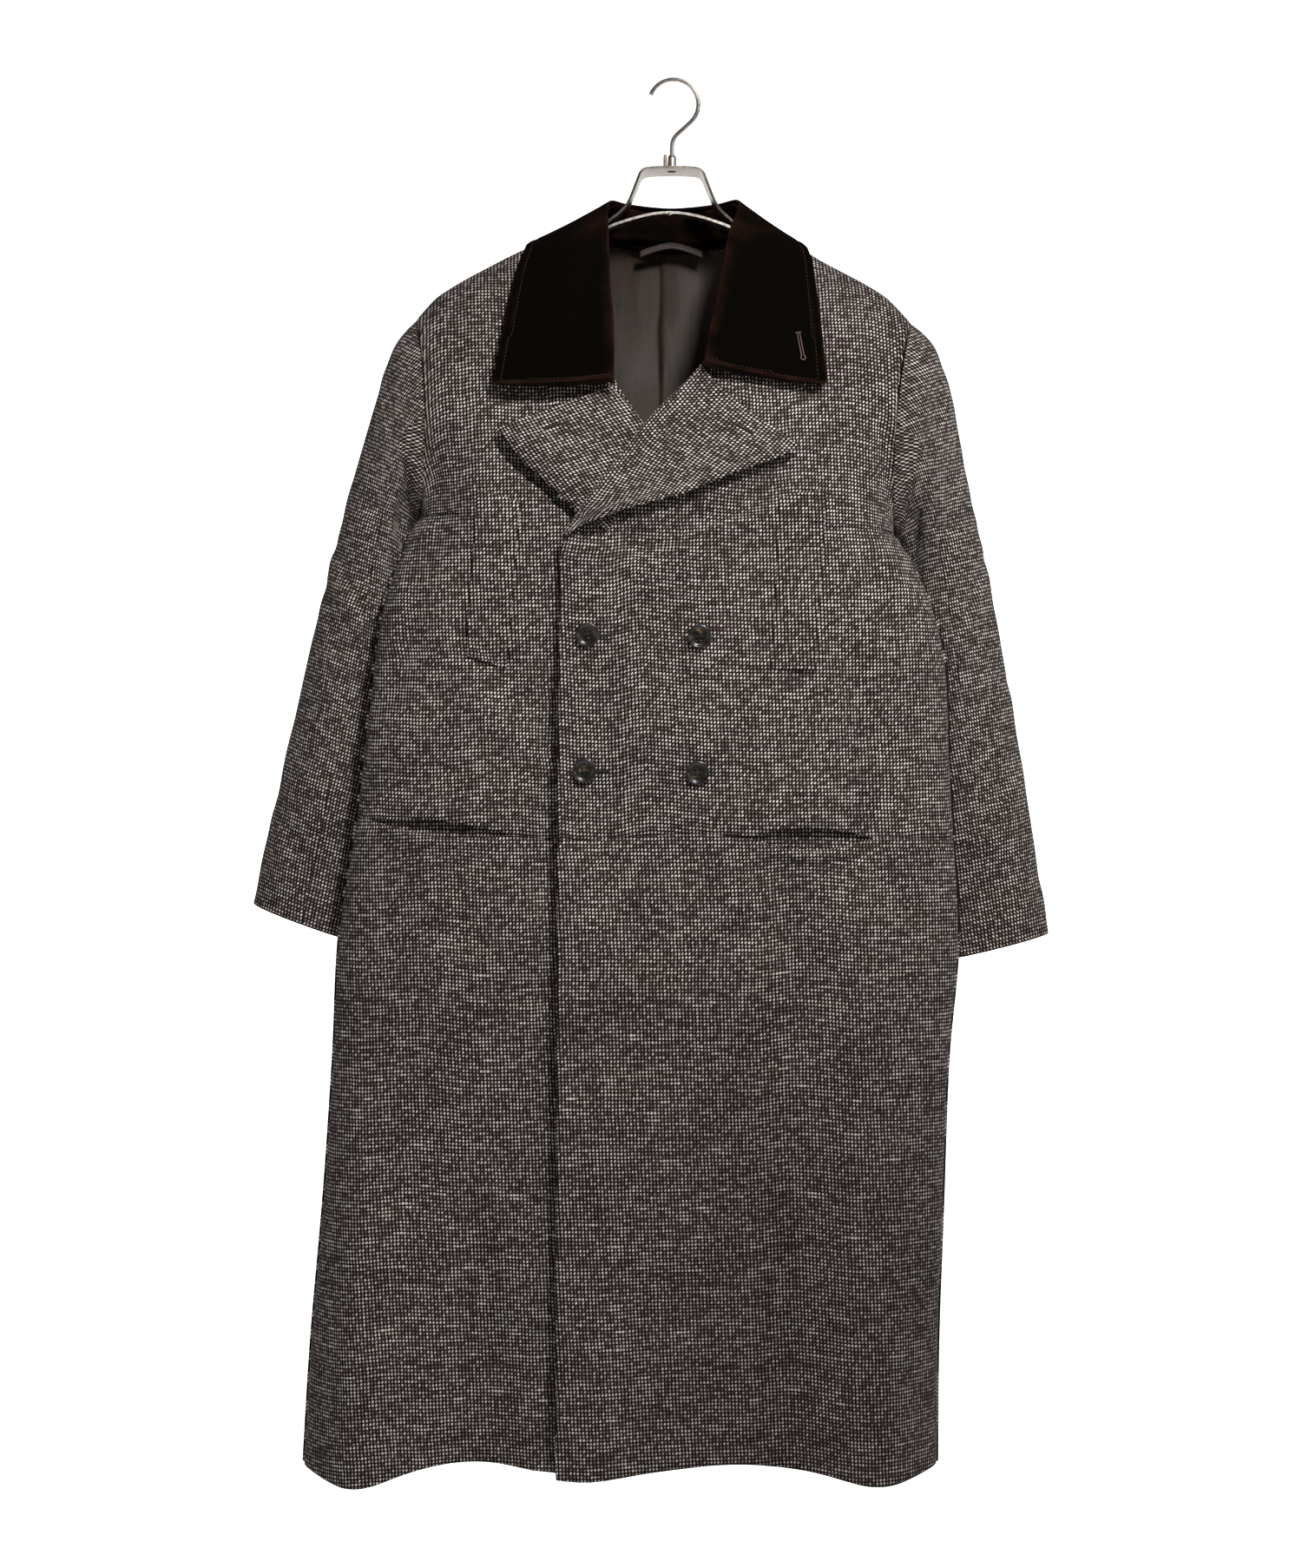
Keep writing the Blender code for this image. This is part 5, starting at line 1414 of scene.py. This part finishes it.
# Sewing: the collar's edge is stitched in short stitches that sink in the pile, the left
# buttons go through worked buttonholes, each lapel has one, and the collar a keyhole.
STITCH_PITCH = 4.0
STITCH_LENGTH = 3.0
STITCH_WIDTH = 0.7
WORKED_PITCH = 0.95
WORKED_LENGTH = 4.2
WORKED_WIDTH = 0.95
HOLE_STEPS = 12
HOLE_LIFT = 0.25
LAPEL_HOLE_LIFT = 0.2
SLIT_RADIUS = 0.55
SLIT_LIFT = 0.45
HOLE_FROM_BUTTON = (5.0, 25.0)
KEYHOLE_TOP = Corner(125.7, -272.0)
KEYHOLE_EYE = Corner(130.1, -298.0)
KEYHOLE_HALF = 1.3
KEYHOLE_ROUND = 2.3
KEYHOLE_TURN = math.pi * 0.82
KEYHOLE_THREAD = 0.5
KEYHOLE_LIFT = 0.35
FELT_REACH = 1.5
Slit = namedtuple("Slit", "x z end_x end_z")
LAPEL_HOLES = {"left": Slit(-130.7, -370.6, -105.4, -363.6), "right": Slit(58.6, -366.2, 79.5, -377.6)}
THREAD_BROWN = (0.020, 0.0135, 0.012, 1)
THREAD_RED = (0.030, 0.0125, 0.0105, 1)
THREAD_ROSE = (0.155, 0.092, 0.078, 1)
brown_thread = plain_finish("thread_brown", 0.8, THREAD_BROWN)
red_thread = plain_finish("thread_red_brown", 0.8, THREAD_RED)
rose_thread = plain_finish("thread_rose_brown", 0.7, THREAD_ROSE)


def new_tree(name, geometry, sockets):
    """Geometry node tree with its inputs, and a function that adds and links nodes."""
    tree = bpy.data.node_groups.new(name, "GeometryNodeTree")
    tree.interface.new_socket(geometry, in_out="INPUT", socket_type="NodeSocketGeometry")
    for socket, kind in sockets:
        tree.interface.new_socket(socket, in_out="INPUT", socket_type="NodeSocket" + kind)
    tree.interface.new_socket("Result", in_out="OUTPUT", socket_type="NodeSocketGeometry")

    def add(kind, settings=None, inputs=None):
        made = tree.nodes.new(kind)
        for key, value in (settings or {}).items():
            setattr(made, key, value)
        for key, value in (inputs or {}).items():
            if isinstance(value, bpy.types.NodeSocket):
                tree.links.new(value, made.inputs[key])
            else:
                made.inputs[key].default_value = value
        return made

    return tree, add


def grown(name, carrier, tree, values, finish):
    """New object made by a tree from a carrier's mesh, with the tree's inputs set by name."""
    modifier = carrier.modifiers.new("grow", "NODES")
    modifier.node_group = tree
    for item in tree.interface.items_tree:
        if item.in_out == "INPUT" and item.name in values:
            modifier[item.identifier] = values[item.name]
        elif item.in_out == "INPUT" and item.name == "Finish":
            modifier[item.identifier] = finish
    depsgraph = bpy.context.evaluated_depsgraph_get()
    mesh = bpy.data.meshes.new_from_object(carrier.evaluated_get(depsgraph))
    carrier.modifiers.remove(modifier)
    piece = bpy.data.objects.new(name, mesh)
    bpy.context.scene.collection.objects.link(piece)
    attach(piece, "root")
    return piece


stitch_tree, add = new_tree("stitch_rows", "Lines", (
    ("Pitch", "Float"), ("Length", "Float"), ("Width", "Float"), ("Turn", "Float"), ("Finish", "Material")))
given = add("NodeGroupInput").outputs
lines = add("GeometryNodeMeshToCurve", inputs={"Mesh": given["Lines"]})
spaced = add("GeometryNodeResampleCurve", {"mode": "LENGTH"},
             {"Curve": lines.outputs[0], "Length": given["Pitch"]})
tangent = add("GeometryNodeInputTangent")
cloth_face = add("GeometryNodeInputNamedAttribute", {"data_type": "FLOAT_VECTOR"}, {"Name": "face"})
along = add("FunctionNodeAlignRotationToVector", {"axis": "X"}, {"Vector": tangent.outputs[0]})
upright = add("FunctionNodeAlignRotationToVector", {"axis": "Z", "pivot_axis": "X"},
              {"Rotation": along.outputs[0], "Vector": cloth_face.outputs[0]})
angle = add("ShaderNodeCombineXYZ", inputs={"Z": given["Turn"]})
turned_by = add("FunctionNodeEulerToRotation", inputs={0: angle.outputs[0]})
turned = add("FunctionNodeRotateRotation", {"rotation_space": "LOCAL"},
             {0: upright.outputs[0], 1: turned_by.outputs[0]})
stitch_size = add("ShaderNodeCombineXYZ", inputs={
    "X": given["Length"], "Y": given["Width"], "Z": given["Width"]})
stitch = add("GeometryNodeMeshUVSphere", inputs={"Segments": 6, "Rings": 4, "Radius": 0.5})
laid = add("GeometryNodeInstanceOnPoints", inputs={
    "Points": spaced.outputs[0], "Instance": stitch.outputs[0],
    "Rotation": turned.outputs[0], "Scale": stitch_size.outputs[0]})
real = add("GeometryNodeRealizeInstances", inputs={0: laid.outputs[0]})
smooth = add("GeometryNodeSetShadeSmooth", inputs={0: real.outputs[0]})
sewn = add("GeometryNodeSetMaterial", inputs={"Geometry": smooth.outputs[0], "Material": given["Finish"]})
add("NodeGroupOutput", inputs={0: sewn.outputs[0]})


def sew(name, route, normals, pitch, length, width, turn, finish):
    """Stitches along a route that lies on cloth with these normals."""
    mesh = bpy.data.meshes.new(name + "_line")
    links = [(k, k + 1) for k in range(len(route) - 1)]
    mesh.from_pydata((np.asarray(route) * METRES).tolist(), links, [])
    face = mesh.attributes.new("face", "FLOAT_VECTOR", "POINT")
    face.data.foreach_set("vector", np.asarray(normals, np.float32).ravel())
    carrier = bpy.data.objects.new(name + "_line", mesh)
    bpy.context.scene.collection.objects.link(carrier)
    values = {"Pitch": pitch * METRES, "Length": length * METRES, "Width": width * METRES, "Turn": turn}
    piece = grown(name, carrier, stitch_tree, values, finish)
    bpy.data.objects.remove(carrier)
    return piece


def on_cloth(points, normal, x, z, lift):
    """Points above a cloth's grid where it is seen at x and z, and the normals there."""
    places, normals = [], []
    for at_x, at_z in zip(x, z):
        gap = (points[..., 0] - at_x) ** 2 + (points[..., 2] - at_z) ** 2
        weight = np.exp(-gap / (2 * FELT_REACH ** 2 + gap.min()))[..., None]
        way = (normal * weight).sum((0, 1))
        way /= np.linalg.norm(way)
        here = (points * weight).sum((0, 1)) / weight.sum()
        places.append(np.array([at_x, here[1], at_z]) + way * lift)
        normals.append(way)
    return np.array(places), np.array(normals)


columns = range(leaf_points.shape[1])
rows = range(leaf_points.shape[0])
edge_route = []
for way, order in ((TOP, columns), (LAST, rows), (BOTTOM, reversed(columns))):
    for k in order:
        line = leaf_points[:, k] if way != LAST else leaf_points[k]
        line_normal = leaf_normal[:, k] if way != LAST else leaf_normal[k]
        gap = leaf_distances[way][:, k] if way != LAST else leaf_distances[way][k]
        nearest = int(np.argmin(np.abs(gap - STITCH_IN)))
        here = (nearest, k) if way != LAST else (k, nearest)
        others = [leaf_distances[other][here] for other in (TOP, LAST, BOTTOM) if other != way]
        if min(others) >= STITCH_IN * 0.95 and leaf_distances[FIRST][here] > 2:
            edge_route.append((line[nearest] + 0.1 * line_normal[nearest], line_normal[nearest]))
sew("collar_stitches", [place for place, way in edge_route], [way for place, way in edge_route],
    STITCH_PITCH, STITCH_LENGTH, STITCH_WIDTH, 0.0, red_thread)

holes = []
for number in (0, 2):
    x = BUTTONS[number].x + np.linspace(HOLE_FROM_BUTTON[0], HOLE_FROM_BUTTON[1], HOLE_STEPS)
    z = np.full(HOLE_STEPS, BUTTONS[number].z - 0.5)
    route = laid_on_front(1, x, z, np.full(HOLE_STEPS, HOLE_LIFT))
    holes.append(("front_hole_%d" % (number + 1), route, np.tile(FRONT_WAY, (HOLE_STEPS, 1))))
for word, slit in LAPEL_HOLES.items():
    grid = lapel_grids[word]
    x = np.linspace(slit.x, slit.end_x, HOLE_STEPS)
    z = np.linspace(slit.z, slit.end_z, HOLE_STEPS)
    route, normals = on_cloth(grid, turned_out(grid, FRONT_WAY), x, z, LAPEL_HOLE_LIFT)
    holes.append(("lapel_%s_hole" % word, route, normals))
for name, route, normals in holes:
    sew(name + "_stitches", route, normals,
        WORKED_PITCH, WORKED_LENGTH, WORKED_WIDTH, math.pi / 2, brown_thread)
    # Painted shade: a dark thread along each buttonhole stands in for the shaded opening of its slit.
    slit = tubes(name + "_slit_shade", [route + SLIT_LIFT * normals], SLIT_RADIUS, thread_and_slit_shade)
    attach(slit, "root")

run = np.array([KEYHOLE_EYE.x - KEYHOLE_TOP.x, KEYHOLE_EYE.z - KEYHOLE_TOP.z])
run_length = float(np.hypot(*run))
run /= run_length
aside = np.array([-run[1], run[0]])
outline = [np.array([0.0, -KEYHOLE_HALF])]
for turn in np.linspace(-KEYHOLE_TURN, KEYHOLE_TURN, 25):
    eye = KEYHOLE_ROUND * np.array([math.cos(turn), math.sin(turn)])
    outline.append(eye + np.array([run_length, 0.0]))
outline.append(np.array([0.0, KEYHOLE_HALF]))
bar = [np.array([-0.6, across]) for across in np.linspace(-KEYHOLE_HALF * 2.2, KEYHOLE_HALF * 2.2, 5)]
keyhole_routes = []
for shape in (np.array(outline), np.array(bar)):
    x = KEYHOLE_TOP.x + shape[:, 0] * run[0] + shape[:, 1] * aside[0]
    z = KEYHOLE_TOP.z + shape[:, 0] * run[1] + shape[:, 1] * aside[1]
    keyhole_routes.append(on_cloth(leaf_points, leaf_normal, x, z, KEYHOLE_LIFT)[0])
keyhole = tubes("collar_keyhole", keyhole_routes, KEYHOLE_THREAD, rose_thread)
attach(keyhole, "root")

# Fuzz: loose ends of wool that stand out of the tweed all over, thickest on the lapels,
# where the cloth is handled most.
FUZZ_DENSITY = 2600.0
FUZZ_LENGTH = 2.6
FUZZ_SLIM = 0.024
FUZZ_ON_LAPELS = 3.0
FUZZ_LEAN = 0.9
FUZZ_SHORTEST = 0.4
FUZZ_LONGEST = 1.4
FUZZ_SEED = 100
FUZZ_PIECES = [
    "front_right_upper", "front_right_skirt", "front_left_upper", "front_left_skirt", "back",
    "sleeve_left_top", "sleeve_left_under", "sleeve_right_top", "sleeve_right_under",
    "lapel_left", "lapel_right",
]
fuzz_wool, shader, shade = new_finish("wool_fuzz", 0.9)
form = shade.node("ShaderNodeTexCoord", {}, {}, "Object")
feed(shader, "Base Color", form.noise(160.0, 2.0).between(0.40, 0.62).tint(WARP_BROWN, WEFT_PALE))

fuzz_tree, add = new_tree("wool_fuzz", "Cloth", (
    ("Density", "Float"), ("Length", "Float"), ("Slim", "Float"), ("Seed", "Int"), ("Finish", "Material")))
given = add("NodeGroupInput").outputs
scattered = add("GeometryNodeDistributePointsOnFaces", inputs={
    "Mesh": given["Cloth"], "Density": given["Density"], "Seed": given["Seed"]})
hair_line = add("GeometryNodeCurveQuadraticBezier", inputs={
    "Resolution": 3, "Start": (0, 0, -0.05), "Middle": (0.05, 0, 0.5), "End": (0.5, 0.1, 0.75)})
section = add("GeometryNodeCurvePrimitiveCircle", inputs={"Resolution": 3, "Radius": given["Slim"]})
strand = add("GeometryNodeCurveToMesh", inputs={
    "Curve": hair_line.outputs[0], "Profile Curve": section.outputs[0]})
tilt = add("FunctionNodeRandomValue", {"data_type": "FLOAT_VECTOR"}, {
    0: (-FUZZ_LEAN, -FUZZ_LEAN, 0.0), 1: (FUZZ_LEAN, FUZZ_LEAN, 6.28), "Seed": given["Seed"]})
tilt_by = add("FunctionNodeEulerToRotation", inputs={0: tilt.outputs[0]})
leaning = add("FunctionNodeRotateRotation", {"rotation_space": "LOCAL"},
              {0: scattered.outputs["Rotation"], 1: tilt_by.outputs[0]})
chance_size = add("FunctionNodeRandomValue", {"data_type": "FLOAT"}, {
    2: FUZZ_SHORTEST, 3: FUZZ_LONGEST, "Seed": given["Seed"]})
hair_size = add("ShaderNodeMath", {"operation": "MULTIPLY"},
                {0: chance_size.outputs[1], 1: given["Length"]})
hairs = add("GeometryNodeInstanceOnPoints", inputs={
    "Points": scattered.outputs["Points"], "Instance": strand.outputs[0],
    "Rotation": leaning.outputs[0], "Scale": hair_size.outputs[0]})
real = add("GeometryNodeRealizeInstances", inputs={0: hairs.outputs[0]})
woolly = add("GeometryNodeSetMaterial", inputs={"Geometry": real.outputs[0], "Material": given["Finish"]})
add("NodeGroupOutput", inputs={0: woolly.outputs[0]})
for number, name in enumerate(FUZZ_PIECES):
    thicker = FUZZ_ON_LAPELS if name.startswith("lapel") else 1.0
    values = {
        "Density": FUZZ_DENSITY * thicker, "Length": FUZZ_LENGTH * METRES,
        "Slim": FUZZ_SLIM, "Seed": FUZZ_SEED + number,
    }
    fuzz = grown(name + "_fuzz", bpy.data.objects[name + "_cloth"], fuzz_tree, values, fuzz_wool)

# Hanger: a bent steel wire hook in a ferrule, a flat steel band with a bow below it,
# and a bar in each shoulder, all of satin warm-grey steel, darker on the band as painted shade.
Steel = namedtuple("Steel", "name light dark pieces")
STEELS = [
    Steel("steel_satin", (0.60, 0.56, 0.51, 1), (0.34, 0.30, 0.27, 1),
          ("hook", "ferrule", "bow", "arm_left", "arm_right")),
    # Painted shade: the band's steel is a darker copy of the same satin steel.
    Steel("steel_band_painted_shade", (0.29, 0.25, 0.21, 1), (0.18, 0.155, 0.13, 1), ("band",)),
]
TAB_PLACE = (-8.0, -2.0, -84.0)
TAB_SIZE = (2.6, 0.8, 8.0)
TAB_SQUARE = 0.4
EYELET_PLACE = (-1.8, -3.0, -94.3)
EYELET_SIZE = (4.6, 3.6, 0.5)
# Painted shade: the colour of the dark lump that stands in for the hole in the band.
HOLE_SHADE_BROWN = (0.02, 0.014, 0.010, 1)
RIVET_PLACE = (-4.0, -7.5, -139.2)
RIVET_SIZE = (2.6, 1.4, 1.8)
STEEL_BRUSHED = (300.0, 30.0, 300.0)
SMEAR_SCALE = 25.0
BALL_AROUND = 24
BALL_LEVELS = 12
for kind in STEELS:
    steel, shader, shade = new_finish(kind.name, 0.3)
    shader.inputs["Metallic"].default_value = 1.0
    form = shade.node("ShaderNodeTexCoord", {}, {}, "Object")
    brush = form.place(STEEL_BRUSHED).noise(1.0, 3.0)
    smear = form.noise(SMEAR_SCALE, 3.0)
    feed(shader, "Base Color", (brush * 0.5 + smear * 0.5).between(0.3, 0.7).tint(kind.dark, kind.light))
    feed(shader, "Roughness", 0.24 + brush * 0.2)
    for name in kind.pieces:
        nodes["hanger_" + name].data.materials.clear()
        nodes["hanger_" + name].data.materials.append(steel)
hole_painted_shade = plain_finish("hole_painted_shade", 0.6, HOLE_SHADE_BROWN)


def ball(name, place, size, finish, power=1.0):
    """Rounded lump; a power below 1 squares it off."""
    points = []
    for i in range(BALL_LEVELS + 1):
        level = math.pi * i / BALL_LEVELS
        for k in range(BALL_AROUND):
            turn = 2 * math.pi * k / BALL_AROUND
            ring = math.sin(level)
            way = np.array([ring * math.cos(turn), ring * math.sin(turn), math.cos(level)])
            points.append(np.array(place) + np.array(size) * np.sign(way) * np.abs(way) ** power)
    lump = made_of(name, points, ring_faces(BALL_LEVELS + 1, BALL_AROUND), finish)
    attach(lump, "root")


# The tab and the rivet take the band's darker steel with its painted shade.
ball("hanger_tab", TAB_PLACE, TAB_SIZE, steel, TAB_SQUARE)
# Painted shade: a dark lump stands in for the shaded hole in the band.
ball("hanger_eyelet_shade", EYELET_PLACE, EYELET_SIZE, hole_painted_shade)
ball("hanger_rivet", RIVET_PLACE, RIVET_SIZE, steel)
